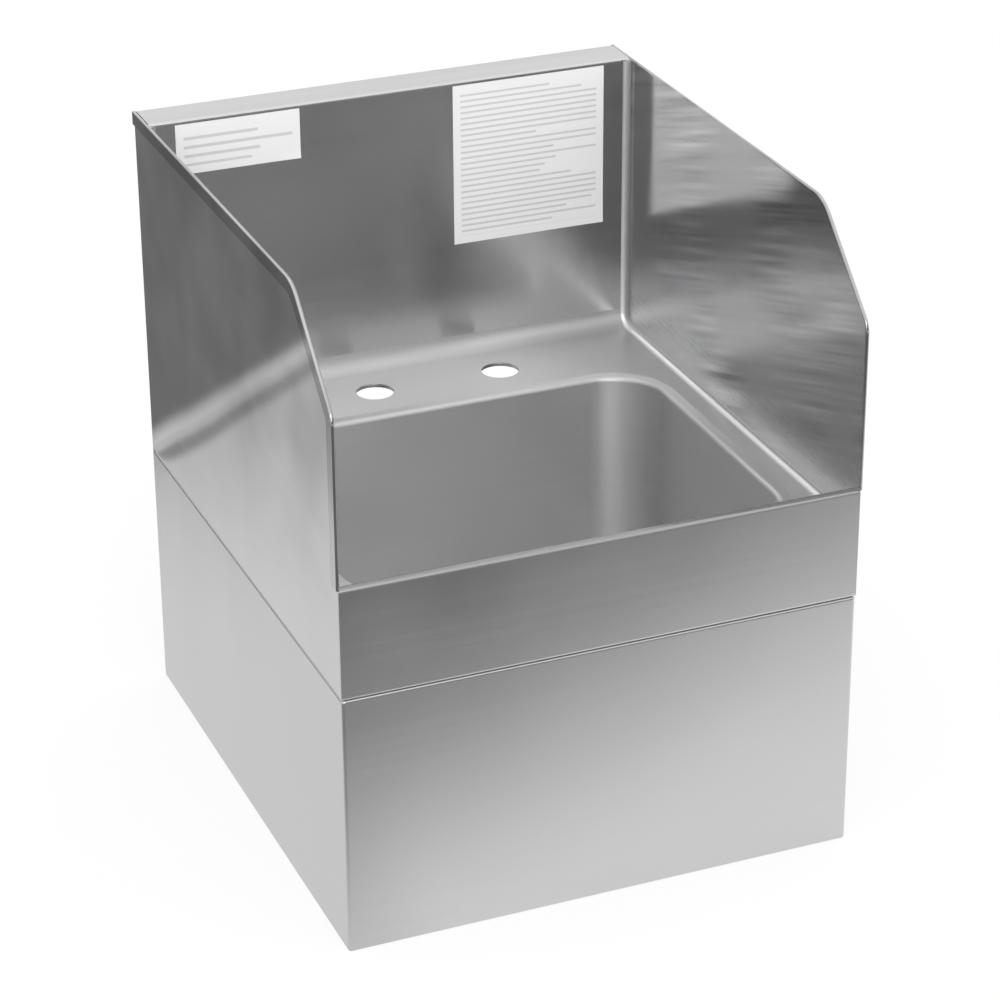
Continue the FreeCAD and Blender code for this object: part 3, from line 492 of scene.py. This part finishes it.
@dataclass(frozen=True)
class TurnedMetal(Finish):
    """Metal turned or spun round the drain's axis, with fine rings and water spots.

    Attributes:
        rings: Rings per metre of radius.
        ring_depth: Depth of the rings.
        ring_swing: Swing of roughness from ring to ring.
        ring_wander: How far the rings stray from true circles.
        spots: Swing of roughness over water spots.
        spot_scale: Water spots per metre.
        tones: Factors of the colour on its darkest and lightest spots.
    """

    rings: float = 900.0
    ring_depth: float = 0.000008
    ring_swing: float = 0.03
    ring_wander: float = 1.5
    spots: float = 0.06
    spot_scale: float = 140.0
    tones: Span = (0.9, 1.05)

    def detail(self, graph: Graph, shader: bpy.types.Node, place: Socket) -> None:
        """Add rings and spots.

        Args:
            graph: Tree to add to.
            shader: Shader to drive.
            place: Object coordinates.
        """
        centred = graph.mapped(place, {"Location": (-DRAIN_X, -DRAIN_Y, 0.0)})
        rings = graph.add("ShaderNodeTexWave", {"Vector": centred, "Scale": self.rings,
                                                "Distortion": self.ring_wander, "Detail": 2.0},
                          wave_type="RINGS", rings_direction="Z").outputs["Fac"]
        spots = graph.noise(place, self.spot_scale, detail=3.0)
        low, high = self.roughness - self.ring_swing, self.roughness + self.ring_swing
        rough = graph.math("ADD", graph.spread(rings, low, high, *WHOLE),
                           graph.spread(spots, -self.spots, self.spots))
        colour = graph.blend(graph.spread(spots, *WHOLE), *toned(self.colour, self.tones))
        graph.wire(shader, {"Roughness": rough, "Base Color": colour,
                            "Normal": graph.bump(rings, self.ring_depth)})


@dataclass(frozen=True)
class ZincCoat(Finish):
    """Zinc coated bracket steel with large crystals.

    Attributes:
        crystal_size: Width of a crystal.
        grime_scale: Grimy patches per metre.
        grime_depth: How far the grime stands out.
        tones: Factors of the colour on its darkest and lightest crystals.
        swing: What those crystals add to the roughness.
    """

    crystal_size: float = 0.009
    grime_scale: float = 60.0
    grime_depth: float = 0.00004
    tones: Span = (0.75, 1.12)
    swing: Span = (-0.1, 0.12)

    def detail(self, graph: Graph, shader: bpy.types.Node, place: Socket) -> None:
        """Add crystals that differ in tone and gloss.

        Args:
            graph: Tree to add to.
            shader: Shader to drive.
            place: Object coordinates.
        """
        cells = graph.add("ShaderNodeTexVoronoi", {"Vector": place, "Scale": 1.0 / self.crystal_size,
                                                   "Randomness": 1.0})
        grey = graph.add("ShaderNodeSeparateColor", {"Color": cells.outputs["Color"]}).outputs["Red"]
        grime_and_shade = graph.noise(place, self.grime_scale, detail=4.0)
        mixed = graph.weigh(grey, grime_and_shade)
        low, high = (self.roughness + part for part in self.swing)
        graph.wire(shader, {"Roughness": graph.spread(mixed, low, high, *WHOLE),
                            "Base Color": graph.blend(mixed, *toned(self.colour, self.tones)),
                            "Normal": graph.bump(grime_and_shade, self.grime_depth)})


@dataclass(frozen=True)
class Moulded(Finish):
    """Rubber, putty or fibre with a dull grained skin.

    Attributes:
        pore_size: Width of the grain.
        pore_depth: Depth of the grain.
        pore_swing: Swing of roughness over the grain.
        mottle: Share by which the colour varies.
        mottle_scale: Patches of colour per metre.
    """

    metallic: float = 0.0
    pore_size: float = 0.0012
    pore_depth: float = 0.00006
    pore_swing: float = 0.08
    mottle: float = 0.2
    mottle_scale: float = 45.0

    def detail(self, graph: Graph, shader: bpy.types.Node, place: Socket) -> None:
        """Add grain and mottling.

        Args:
            graph: Tree to add to.
            shader: Shader to drive.
            place: Object coordinates.
        """
        pores = graph.noise(place, 1.0 / self.pore_size, detail=3.0)
        patches = graph.noise(place, self.mottle_scale, detail=4.0)
        ends = toned(self.colour, (1.0 - self.mottle, 1.0 + self.mottle))
        rough = graph.spread(pores, self.roughness - self.pore_swing, self.roughness + self.pore_swing)
        colour = graph.blend(graph.spread(patches, *WHOLE), *ends)
        graph.wire(shader, {"Roughness": rough, "Base Color": colour,
                            "Normal": graph.bump(pores, self.pore_depth)})


@dataclass(frozen=True)
class RuledPaper(Finish):
    """White label paper with plain grey rules and no words.

    Attributes:
        rule_pitch: Distance from rule to rule.
        rule_share: Share of the pitch that a rule takes.
        half_width: Half of the ruled width.
        half_height: Half of the ruled height.
        ink: Colour of the rules.
        shortest: Where the shortest rule ends, as a share of the half width.
        short_rules: Share of the rules that end early.
        fibre_scale: Fibres per metre.
        fibre_depth: How far the fibres stand out.
        fibre_swing: Swing of roughness over the fibres.
    """

    metallic: float = 0.0
    rule_pitch: float = 0.0042
    rule_share: float = 0.34
    half_width: float = 0.05
    half_height: float = 0.05
    ink: Colour = (0.68, 0.68, 0.69)
    shortest: float = 0.1
    short_rules: float = 0.5
    fibre_scale: float = 2200.0
    fibre_depth: float = 0.00002
    fibre_swing: float = 0.06

    def detail(self, graph: Graph, shader: bpy.types.Node, place: Socket) -> None:
        """Add fibres and rules.

        Args:
            graph: Tree to add to.
            shader: Shader to drive.
            place: Object coordinates.
        """
        axes = graph.add("ShaderNodeSeparateXYZ", {"Vector": place}).outputs
        rows = graph.math("DIVIDE", axes["Z"], self.rule_pitch)
        inked = graph.math("LESS_THAN", graph.math("FRACT", rows), self.rule_share)
        row = graph.add("ShaderNodeTexWhiteNoise", {"W": graph.math("FLOOR", rows)}, noise_dimensions="1D")
        reach = graph.spread(row.outputs["Value"], self.half_width * self.shortest, self.half_width,
                             0.0, self.short_rules)
        across = graph.math("MULTIPLY", graph.math("LESS_THAN", axes["X"], reach),
                            graph.math("GREATER_THAN", axes["X"], -self.half_width))
        upright = graph.math("LESS_THAN", graph.math("ABSOLUTE", axes["Z"]), self.half_height)
        printed = graph.math("MULTIPLY", graph.math("MULTIPLY", inked, across), upright)
        fibres = graph.noise(place, self.fibre_scale, detail=3.0)
        rough = graph.spread(fibres, self.roughness - self.fibre_swing, self.roughness + self.fibre_swing)
        graph.wire(shader, {"Roughness": rough, "Base Color": graph.blend(printed, self.colour, self.ink),
                            "Normal": graph.bump(fibres, self.fibre_depth)})


# Finishes that the drain and its basket share.
DRAIN_STEEL = TurnedMetal("drain_steel", STEEL, 0.26)
DRAIN_CHROME = TurnedMetal("drain_chrome", CHROME, 0.12)
BLACK_RUBBER = Moulded("black_rubber", (0.022, 0.022, 0.023), 0.62)


def dress(finish: Finish, *nodes: str) -> None:
    """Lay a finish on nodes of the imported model.

    Args:
        finish: Finish to use.
        *nodes: Names of the nodes.
    """
    for node in nodes:
        finish.lay_on(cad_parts[node])
        LOG.info("dressed %s in %s", node, finish.name)


def make_piece(name: str, corners: list[Point], faces: list[tuple[int, ...]],
               place: Point = (0.0, 0.0, 0.0)) -> bpy.types.Object:
    """Make a mesh object.

    Args:
        name: Name of the object.
        corners: Corners of the mesh.
        faces: Corner numbers of each face.
        place: Where the object's origin goes.

    Returns:
        The new object, linked to the scene.
    """
    mesh = bpy.data.meshes.new(name)
    mesh.from_pydata(corners, [], faces)
    mesh.validate()
    piece = bpy.data.objects.new(name, mesh)
    piece.location = place
    bpy.context.scene.collection.objects.link(piece)
    return piece


def make_plane(name: str, half_width: float, half_depth: float, place: Point) -> bpy.types.Object:
    """Make a level rectangle for the studio.

    Args:
        name: Name of the object.
        half_width: Half of its width along X.
        half_depth: Half of its depth along Y.
        place: Its middle.

    Returns:
        The new object, linked to the scene.
    """
    x, y = half_width, half_depth
    corners = [(-x, -y, 0.0), (x, -y, 0.0), (x, y, 0.0), (-x, y, 0.0)]
    return make_piece(name, corners, [(0, 1, 2, 3)], place)


@dataclass
class Cabinet:
    """Sheet pieces that make the sink's outside, splash and deck.

    Attributes:
        panel: Finish of the side panels.
        splash: Finish of the backsplash.
        front: Finish of the apron and skirt.
        level: Finish of the deck.
    """

    # The panel finish darkens its colour with painted shade in the seam, on inner faces, the hem and folds,
    # and swings it with painted cloudy reflections; the front finish has painted shade in the seam and on
    # folds.
    panel: BrushedSteel = BrushedSteel(
        "panel_steel", STEEL, 0.08, wave_size=0.25, wave_depth=0.001, haze=0.015, rub_depth=0.00003,
        rub_tone=0.3, ground=0.22, inner_shade=0.15, cloud=0.16, grime_and_shade=0.7, hem_loss=0.4, fold_shade=0.18)
    splash: BrushedSteel = BrushedSteel("backsplash_steel", STEEL, 0.2, stretch=0.9)
    front: BrushedSteel = BrushedSteel(
        "apron_steel", STEEL, 0.22, wave_size=0.1, wave_height=0.6, stretch=0.85, grime_and_shade=0.1,
        flat_faces=FlatFaces.FRONT_AND_SIDES, fold_shade=0.42)
    level: BrushedSteel = BrushedSteel("deck_steel", PALE_STEEL, 0.48, grain=Grain.SIDEWAYS, stretch=0.85)

    def dress(self) -> None:
        """Lay the sheet finishes on the cabinet's nodes."""
        dress(self.panel, "left_side_panel", "right_side_panel")
        dress(self.splash, "backsplash")
        dress(self.front, "front_apron", "skirt")
        dress(self.level, "deck")


@dataclass
class Basin:
    """Drawn bowl.

    Attributes:
        inside: Finish of the bowl.
    """

    inside: BrushedSteel = BrushedSteel("bowl_steel", PALE_STEEL, 0.52, wave_depth=0.0006)

    def dress(self) -> None:
        """Lay the finish on the bowl."""
        dress(self.inside, "bowl")


@dataclass
class WallFixing:
    """Brackets and fasteners behind and under the sheet.

    Attributes:
        bracket: Finish of the brackets and the faucet plate.
        fastener: Finish of screws, weld nuts and the post's clip.
    """

    bracket: ZincCoat = ZincCoat("bracket_steel", (0.55, 0.56, 0.57), 0.38)
    fastener: TurnedMetal = TurnedMetal("screw_steel", (0.58, 0.58, 0.58), 0.3)

    def dress(self) -> None:
        """Lay the finishes on brackets and fasteners."""
        dress(self.bracket, "wall_hanger", "hanger_channel", "faucet_plate")
        dress(self.fastener, "skirt_screws", "skirt_weld_nuts", "post_clip")


@dataclass
class DrainStack:
    """Drain cup with its rings, nuts and outlet tube.

    Attributes:
        cup: Finish of the drain cup.
        tube: Finish of the outlet tube.
        nuts: Finish of the lock nut and the coupling nut.
        rubber: Finish of the rubber ring.
        putty: Finish of the sealing rings.
        fibre: Finish of the fibre washer.
    """

    cup: TurnedMetal = DRAIN_STEEL
    tube: TurnedMetal = DRAIN_CHROME
    nuts: TurnedMetal = TurnedMetal("drain_brass", (0.60, 0.44, 0.20), 0.34)
    rubber: Moulded = BLACK_RUBBER
    putty: Moulded = Moulded("sealant", (0.52, 0.50, 0.45), 0.7)
    fibre: Moulded = Moulded("white_paper", (0.74, 0.72, 0.68), 0.8, mottle=0.06)

    def dress(self) -> None:
        """Lay the finishes on the drain's nodes."""
        dress(self.cup, "drain_body")
        dress(self.tube, "tailpiece")
        dress(self.nuts, "drain_lock_nut", "coupling_nut")
        dress(self.rubber, "drain_gasket")
        dress(self.putty, "drain_seal", "tailpiece_washer")
        dress(self.fibre, "drain_friction_washer")


@dataclass
class LiftOutBasket:
    """Strainer basket with its sliding post and stopper.

    Attributes:
        cup: Finish of the basket.
        post: Finish of the knob and post.
        stopper: Finish of the rubber stopper.
    """

    cup: TurnedMetal = DRAIN_STEEL
    post: TurnedMetal = DRAIN_CHROME
    stopper: Moulded = BLACK_RUBBER

    def dress(self) -> None:
        """Lay the finishes on the basket's nodes."""
        dress(self.cup, "strainer_basket")
        dress(self.post, "basket_post")
        dress(self.stopper, "basket_stopper")


@dataclass
class SeamWeld:
    """Dressed weld down a corner of the backsplash, round the cove and along the deck to the apron.

    Attributes:
        name: Name of the piece.
        side: -1 for the left side and 1 for the right one.
        inside: Inner face of the side panel from the middle of the sink.
        top: Upper end, under the lip's bend.
        level: Height of the deck.
        front: Front end, behind the apron.
        cove: Radius of the cove between backsplash and deck.
        radius: Radius of its hollow face.
        hidden: How far it reaches into the sheets.
        steps: Facets across its hollow face and round the cove.
        crease: Angle in degrees from which an edge stays sharp.
        finish: Finish of the ground weld.
    """

    name: str
    side: int
    inside: float = INSIDE_X
    top: float = SPLASH_TOP_Z - 0.0021
    level: float = DECK_Z
    front: float = DECK_FRONT_Y + 0.0014
    cove: float = 0.0127
    radius: float = 0.0048
    hidden: float = 0.0004
    steps: int = 8
    crease: float = 40.0
    finish: BrushedSteel = BrushedSteel("weld_steel", WELD, 0.4, grain=Grain.SIDEWAYS, wave_size=0.03,
                                        wave_depth=0.00005)

    def quarter(self) -> list[float]:
        """Angles of a quarter circle, one for each facet's edge."""
        return [math.pi / 2 * step / self.steps for step in range(self.steps + 1)]

    def route(self) -> list[tuple[Vector, Vector]]:
        """Lay out the weld's way over the sheet.

        Returns:
            Places on the sheet and the ways off it there, both as y and z.
        """
        middle = Vector((SPLASH_FACE_Y - self.cove, self.level + self.cove))
        stops = [(Vector((SPLASH_FACE_Y, self.top)), Vector((-1.0, 0.0)))]
        for angle in self.quarter():
            out = Vector((math.cos(angle), -math.sin(angle)))
            stops.append((middle + out * self.cove, -out))
        stops.append((Vector((self.front, self.level)), Vector((0.0, 1.0))))
        return stops

    def section(self) -> list[tuple[float, float]]:
        """Lay out the weld's section.

        Returns:
            Corners, as distances off the side panel and off the sheet.
        """
        outline = [(-self.hidden, -self.hidden), (-self.hidden, self.radius)]
        for angle in self.quarter():
            outline.append((self.radius * (1.0 - math.cos(angle)), self.radius * (1.0 - math.sin(angle))))
        outline.append((self.radius, -self.hidden))
        return outline

    def build(self) -> bpy.types.Object:
        """Make the weld.

        Returns:
            The weld, riding on the sink.
        """
        outline = self.section()
        count = len(outline)
        corners: list[Point] = []
        for place, off in self.route():
            for inward, lift in outline:
                spot = place + off * lift
                corners.append((self.side * (self.inside - inward), spot[0], spot[1]))
        last = len(corners) - count
        ends: list[tuple[int, ...]] = [tuple(range(count)), tuple(range(last + count - 1, last - 1, -1))]
        faces = list(ends)
        for start in range(0, last, count):
            for here in range(count):
                there = (here + 1) % count
                faces.append((start + there, start + here, start + count + here, start + count + there))
        if self.side > 0:
            faces = [face[::-1] for face in faces]
        piece = make_piece(self.name, corners, faces)
        piece.data.shade_smooth()
        for polygon in piece.data.polygons[:len(ends)]:
            polygon.use_smooth = False
        piece.data.set_sharp_from_angle(angle=math.radians(self.crease))
        self.finish.lay_on(piece)
        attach(piece, "sink")
        LOG.info("built %s", self.name)
        return piece


@dataclass
class PaperLabel:
    """Paper label stuck to the backsplash.

    Attributes:
        name: Name of the piece.
        left: Its left edge.
        right: Its right edge.
        bottom: Its bottom edge.
        top: Its top edge.
        rule_pitch: Distance from rule to rule.
        margin: Bare border round the rules.
        roughness: Roughness of the paper.
        thickness: Thickness of the paper.
        glue: Thickness of the glue.
        cockle: Height of the paper's slight waves.
        cockle_turns: How often those waves turn across the label, aslant and up it, in radians.
        curl_start: Where the free corner starts to curl, from 0 to 1 toward the lower right.
        lift: How far its free corner stands off.
        steps: Cells along each edge.
    """

    name: str
    left: float
    right: float
    bottom: float
    top: float
    rule_pitch: float
    margin: float = 0.006
    roughness: float = 0.72
    thickness: float = 0.00012
    glue: float = 0.00002
    cockle: float = 0.00004
    cockle_turns: Point = (9.0, 4.0, 7.0)
    curl_start: float = 0.72
    lift: float = 0.0007
    steps: int = 24

    def stand_off(self, across: float, up: float) -> float:
        """Height of the paper's back above the steel.

        Args:
            across: Place from the left edge, 0 to 1.
            up: Place from the bottom edge, 0 to 1.

        Returns:
            The height.
        """
        corner = max(0.0, across - up - self.curl_start) / (1.0 - self.curl_start)
        wide, slant, tall = self.cockle_turns
        wave = math.sin(wide * across + slant * up) * math.sin(tall * up)
        return self.glue + self.cockle * (1.0 + wave) + self.lift * corner * corner

    def sheet(self, width: float, height: float) -> tuple[list[Point], list[tuple[int, ...]]]:
        """Lay out the paper's front, back and cut edges round its middle.

        Args:
            width: Width of the label.
            height: Height of the label.

        Returns:
            Corners and faces.
        """
        count = self.steps + 1
        corners: list[Point] = []
        for layer in (self.thickness, 0.0):
            for row in range(count):
                for column in range(count):
                    across, up = column / self.steps, row / self.steps
                    corners.append(((across - 0.5) * width, -self.stand_off(across, up) - layer,
                                    (up - 0.5) * height))
        faces: list[tuple[int, ...]] = []
        back = count * count
        for row in range(self.steps):
            for column in range(self.steps):
                low = row * count + column
                faces.append((low, low + 1, low + count + 1, low + count))
                faces.append((back + low, back + low + count, back + low + count + 1, back + low + 1))
        rim = list(range(count))
        rim += [row * count + self.steps for row in range(1, count)]
        rim += [self.steps * count + column for column in range(self.steps - 1, -1, -1)]
        rim += [row * count for row in range(self.steps - 1, 0, -1)]
        for here, there in zip(rim, rim[1:] + rim[:1]):
            faces.append((there, here, back + here, back + there))
        return corners, faces

    def build(self) -> bpy.types.Object:
        """Make the label.

        Returns:
            The label, riding on the sink.
        """
        width = self.right - self.left
        height = self.top - self.bottom
        piece = make_piece(self.name, *self.sheet(width, height),
                           ((self.left + self.right) / 2, SPLASH_FACE_Y, (self.bottom + self.top) / 2))
        RuledPaper(self.name + "_paper", PAPER, self.roughness, rule_pitch=self.rule_pitch,
                   half_width=width / 2 - self.margin, half_height=height / 2 - self.margin).lay_on(piece)
        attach(piece, "sink")
        LOG.info("built %s", self.name)
        return piece


@dataclass
class ReflectionCard:
    """Grey card that only the metal's reflections see.

    Attributes:
        name: Name of the card.
        middle: Middle of the card.
        half_width: Half of its width.
        half_depth: Half of its depth.
        turn: Turn about the vertical in degrees.
        tone: Brightness of the card.
        fade: Width of the soft rim.
        crisp: Width of the rim on the card's far side, the plus Y one before its turn.
        tilt: Lean from level in degrees, 90 for an upright card.
    """

    name: str
    middle: Point
    half_width: float
    half_depth: float
    turn: float
    tone: float
    fade: float
    crisp: float
    tilt: float = 0.0

    def material(self) -> bpy.types.Material:
        """Make the card's material.

        Returns:
            A tone that fades out toward the card's rim.
        """
        made = bpy.data.materials.new(self.name + "_tone")
        made.use_nodes = True
        graph = Graph(made.node_tree)
        place = graph.add("ShaderNodeTexCoord").outputs["Object"]
        axes = graph.add("ShaderNodeSeparateXYZ", {"Vector": place}).outputs
        sides = ((graph.math("ABSOLUTE", axes["X"]), self.half_width, self.fade),
                 (axes["Y"], self.half_depth, self.crisp),
                 (graph.math("MULTIPLY", axes["Y"], -1.0), self.half_depth, self.fade))
        cover: object = 1.0
        for away, half, width in sides:
            fade = graph.add("ShaderNodeMapRange", {
                "Value": away, "From Min": half - width, "From Max": half, "To Min": 1.0, "To Max": 0.0,
            }, interpolation_type="SMOOTHSTEP")
            cover = graph.math("MULTIPLY", cover, fade.outputs["Result"])
        glow = graph.add("ShaderNodeEmission", {"Color": (self.tone, self.tone, self.tone, 1.0)})
        clear = graph.add("ShaderNodeBsdfTransparent")
        mix = graph.add("ShaderNodeMixShader", {0: cover, 1: clear.outputs[0], 2: glow.outputs[0]})
        graph.add("ShaderNodeOutputMaterial", {"Surface": mix.outputs[0]})
        return made

    def build(self) -> None:
        """Make the card and hide it from every ray but reflections."""
        card = make_plane(self.name, self.half_width, self.half_depth, self.middle)
        card.rotation_euler = (math.radians(self.tilt), 0.0, math.radians(self.turn))
        card.data.materials.append(self.material())
        card.visible_camera = False
        card.visible_diffuse = False
        card.visible_transmission = False
        card.visible_volume_scatter = False
        card.visible_shadow = False


@dataclass
class Studio:
    """Pale floor, white surroundings, soft lamps and the cards that the metal mirrors.

    Attributes:
        floor_half: Half width of the floor.
        floor_tone: Brightness of the floor's colour.
        floor_glow: Share of plain white in the floor as the camera and the metal see it.
        ambient: Strength of the even light from all round.
        aim: Point that the lamps look at.
        lamp_power: Power of the lamp overhead.
        lamp_size: Width of the lamp overhead.
        lamp_place: Place of the lamp overhead.
        fill_power: Power of the weak lamp in front.
        fill_size: Width of the weak lamp in front.
        fill_place: Place of the weak lamp in front.
        card_level: Height of the cards on the floor.
    """

    floor_half: float = 7.0
    floor_tone: float = 0.92
    floor_glow: float = 0.8
    ambient: float = 1.0
    aim: Point = (0.0, -0.2, -0.2)
    lamp_power: float = 42.0
    lamp_size: float = 8.0
    lamp_place: Point = (-0.35, -0.75, 2.6)
    fill_power: float = 13.0
    fill_size: float = 1.2
    fill_place: Point = (-0.5, -2.2, 0.9)
    card_level: float = FLOOR_Z + 0.001

    def plain_rays(self, graph: Graph) -> Socket:
        """Tell the rays that see plain white from the rest.

        Args:
            graph: Tree to add to.

        Returns:
            1 for those rays and 0 for the rest.
        """
        path = graph.add("ShaderNodeLightPath").outputs
        mask = path[Ray.CAMERA.value]
        for ray in (Ray.GLOSSY, Ray.TRANSMISSION):
            mask = graph.math("MAXIMUM", mask, path[ray.value])
        return mask

    def build_floor(self) -> None:
        """Make the floor, which keeps the sink's shadow."""
        floor = make_plane("floor", self.floor_half, self.floor_half, (0.0, 0.0, FLOOR_Z))
        paint = bpy.data.materials.new("floor_white")
        paint.use_nodes = True
        graph = Graph(paint.node_tree)
        matt = graph.add("ShaderNodeBsdfDiffuse", {"Color": (self.floor_tone,) * 3 + (1.0,)})
        glow = graph.add("ShaderNodeEmission", {"Color": WHITE, "Strength": 1.0})
        share = graph.math("MULTIPLY", self.plain_rays(graph), self.floor_glow)
        mix = graph.add("ShaderNodeMixShader", {0: share, 1: matt.outputs[0], 2: glow.outputs[0]})
        graph.add("ShaderNodeOutputMaterial", {"Surface": mix.outputs[0]})
        floor.data.materials.append(paint)

    def build_world(self) -> None:
        """Make the white surroundings."""
        world = bpy.data.worlds.new("white_room")
        world.use_nodes = True
        bpy.context.scene.world = world
        graph = Graph(world.node_tree)
        even = graph.add("ShaderNodeBackground", {"Color": WHITE, "Strength": self.ambient})
        plain = graph.add("ShaderNodeBackground", {"Color": WHITE, "Strength": 1.0})
        rays = self.plain_rays(graph)
        mix = graph.add("ShaderNodeMixShader", {0: rays, 1: even.outputs[0], 2: plain.outputs[0]})
        graph.add("ShaderNodeOutputWorld", {"Surface": mix.outputs[0]})

    def hang_lamp(self, name: str, place: Point, size: float, power: float) -> None:
        """Hang a soft lamp, aimed at the sink's middle.

        Args:
            name: Name of the lamp.
            place: Where it hangs.
            size: Its width.
            power: Its power in watts.
        """
        lamp = bpy.data.lights.new(name, "AREA")
        lamp.shape = "SQUARE"
        lamp.size = size
        lamp.energy = power
        holder = bpy.data.objects.new(name, lamp)
        holder.location = place
        sight = Vector(self.aim) - holder.location
        holder.rotation_euler = sight.to_track_quat("-Z", "Y").to_euler()
        bpy.context.scene.collection.objects.link(holder)

    def build_lamps(self) -> None:
        """Hang the wide lamp overhead and a weak one in front."""
        self.hang_lamp("softbox", self.lamp_place, self.lamp_size, self.lamp_power)
        self.hang_lamp("fill", self.fill_place, self.fill_size, self.fill_power)

    def cards(self) -> list[ReflectionCard]:
        """Lay out the cards, those on the floor a little above each other where they overlap.

        Returns:
            Cards on the floor, then the upright ones.
        """
        level = self.card_level
        return [
            ReflectionCard("front_card", (-0.68, -1.44, level), half_width=2.2, half_depth=1.18,
                           turn=-25.0, tone=0.2, fade=0.36, crisp=0.36),
            ReflectionCard("rear_card", (0.147, 1.3155, level), half_width=1.6, half_depth=1.0,
                           turn=-35.5, tone=0.2, fade=0.03, crisp=0.02),
            ReflectionCard("side_card", (-0.669, 0.353, level), half_width=0.5, half_depth=0.275,
                           turn=-35.0, tone=0.55, fade=0.4, crisp=0.01),
            ReflectionCard("side_strip", (-0.503, 0.5201, level + 0.001), half_width=0.25, half_depth=0.017,
                           turn=-36.0, tone=0.3, fade=0.016, crisp=0.01),
            ReflectionCard("left_card", (-0.55, 0.0, level - 0.0005), half_width=0.45, half_depth=0.7,
                           turn=0.0, tone=0.84, fade=0.1, crisp=0.1),
            ReflectionCard("front_wall", (0.4, -3.4, FLOOR_Z + 1.1), half_width=3.2, half_depth=1.1,
                           turn=0.0, tone=0.25, fade=0.3, crisp=0.7, tilt=90.0),
            ReflectionCard("rear_wall", (-2.0, 2.4, FLOOR_Z + 0.5), half_width=2.5, half_depth=0.5,
                           turn=40.0, tone=0.15, fade=0.2, crisp=0.2, tilt=90.0),
        ]

    def build(self) -> None:
        """Make floor, surroundings, lamps and cards."""
        self.build_floor()
        self.build_world()
        self.build_lamps()
        for card in self.cards():
            card.build()


@dataclass
class PhotoCamera:
    """Camera at the photograph's angle.

    Attributes:
        azimuth: Turn round the vertical in degrees.
        elevation: Height above level in degrees.
        roll: Turn about the line of sight in degrees.
        distance: Distance from the aim.
        aim: Point in the middle of the picture.
        lens: Focal length in millimetres.
        sensor: Width of the sensor in millimetres.
    """

    azimuth: float = -22.1695
    elevation: float = 26.2036
    roll: float = -0.3710
    distance: float = 2.43171
    aim: Point = (0.004615, -0.22225, -0.210531)
    lens: float = 120.681
    sensor: float = 36.0

    def build(self) -> None:
        """Make the camera and hand it to the scene."""
        turn, rise, tilt = (math.radians(angle) for angle in (self.azimuth, self.elevation, self.roll))
        right = Vector((math.cos(turn), math.sin(turn), 0.0))
        back = Vector((math.sin(turn) * math.cos(rise), -math.cos(turn) * math.cos(rise), math.sin(rise)))
        up = back.cross(right)
        level = math.cos(tilt) * right + math.sin(tilt) * up
        upright = math.cos(tilt) * up - math.sin(tilt) * right
        data = bpy.data.cameras.new("photo_camera")
        data.sensor_width = self.sensor
        data.lens = self.lens
        camera = bpy.data.objects.new("photo_camera", data)
        bpy.context.scene.collection.objects.link(camera)
        place = Matrix((level, upright, back)).transposed().to_4x4()
        place.translation = Vector(self.aim) + back * self.distance
        camera.matrix_world = place
        bpy.context.scene.camera = camera


def write_sizes() -> None:
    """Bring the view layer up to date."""
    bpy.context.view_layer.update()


def main() -> None:
    """Dress the sink's pieces in order, then set the studio and the camera."""
    logging.basicConfig(level=logging.INFO, format="%(message)s")
    bpy.context.scene.view_settings.view_transform = "Standard"
    for assembly in (Cabinet(), Basin(), WallFixing(), DrainStack(), LiftOutBasket()):
        assembly.dress()
    SeamWeld("left_seam_weld", side=-1).build()
    SeamWeld("right_seam_weld", side=1).build()
    for label in (
        PaperLabel("small_label", left=-0.170, right=-0.0750, bottom=0.0002, top=0.0386, rule_pitch=0.0068),
        PaperLabel("large_label", left=0.0456, right=0.1685, bottom=-0.0877, top=0.0386, rule_pitch=0.0045),
    ):
        label.build()
    Studio().build()
    PhotoCamera().build()
    write_sizes()


if __name__ == "__main__":
    main()
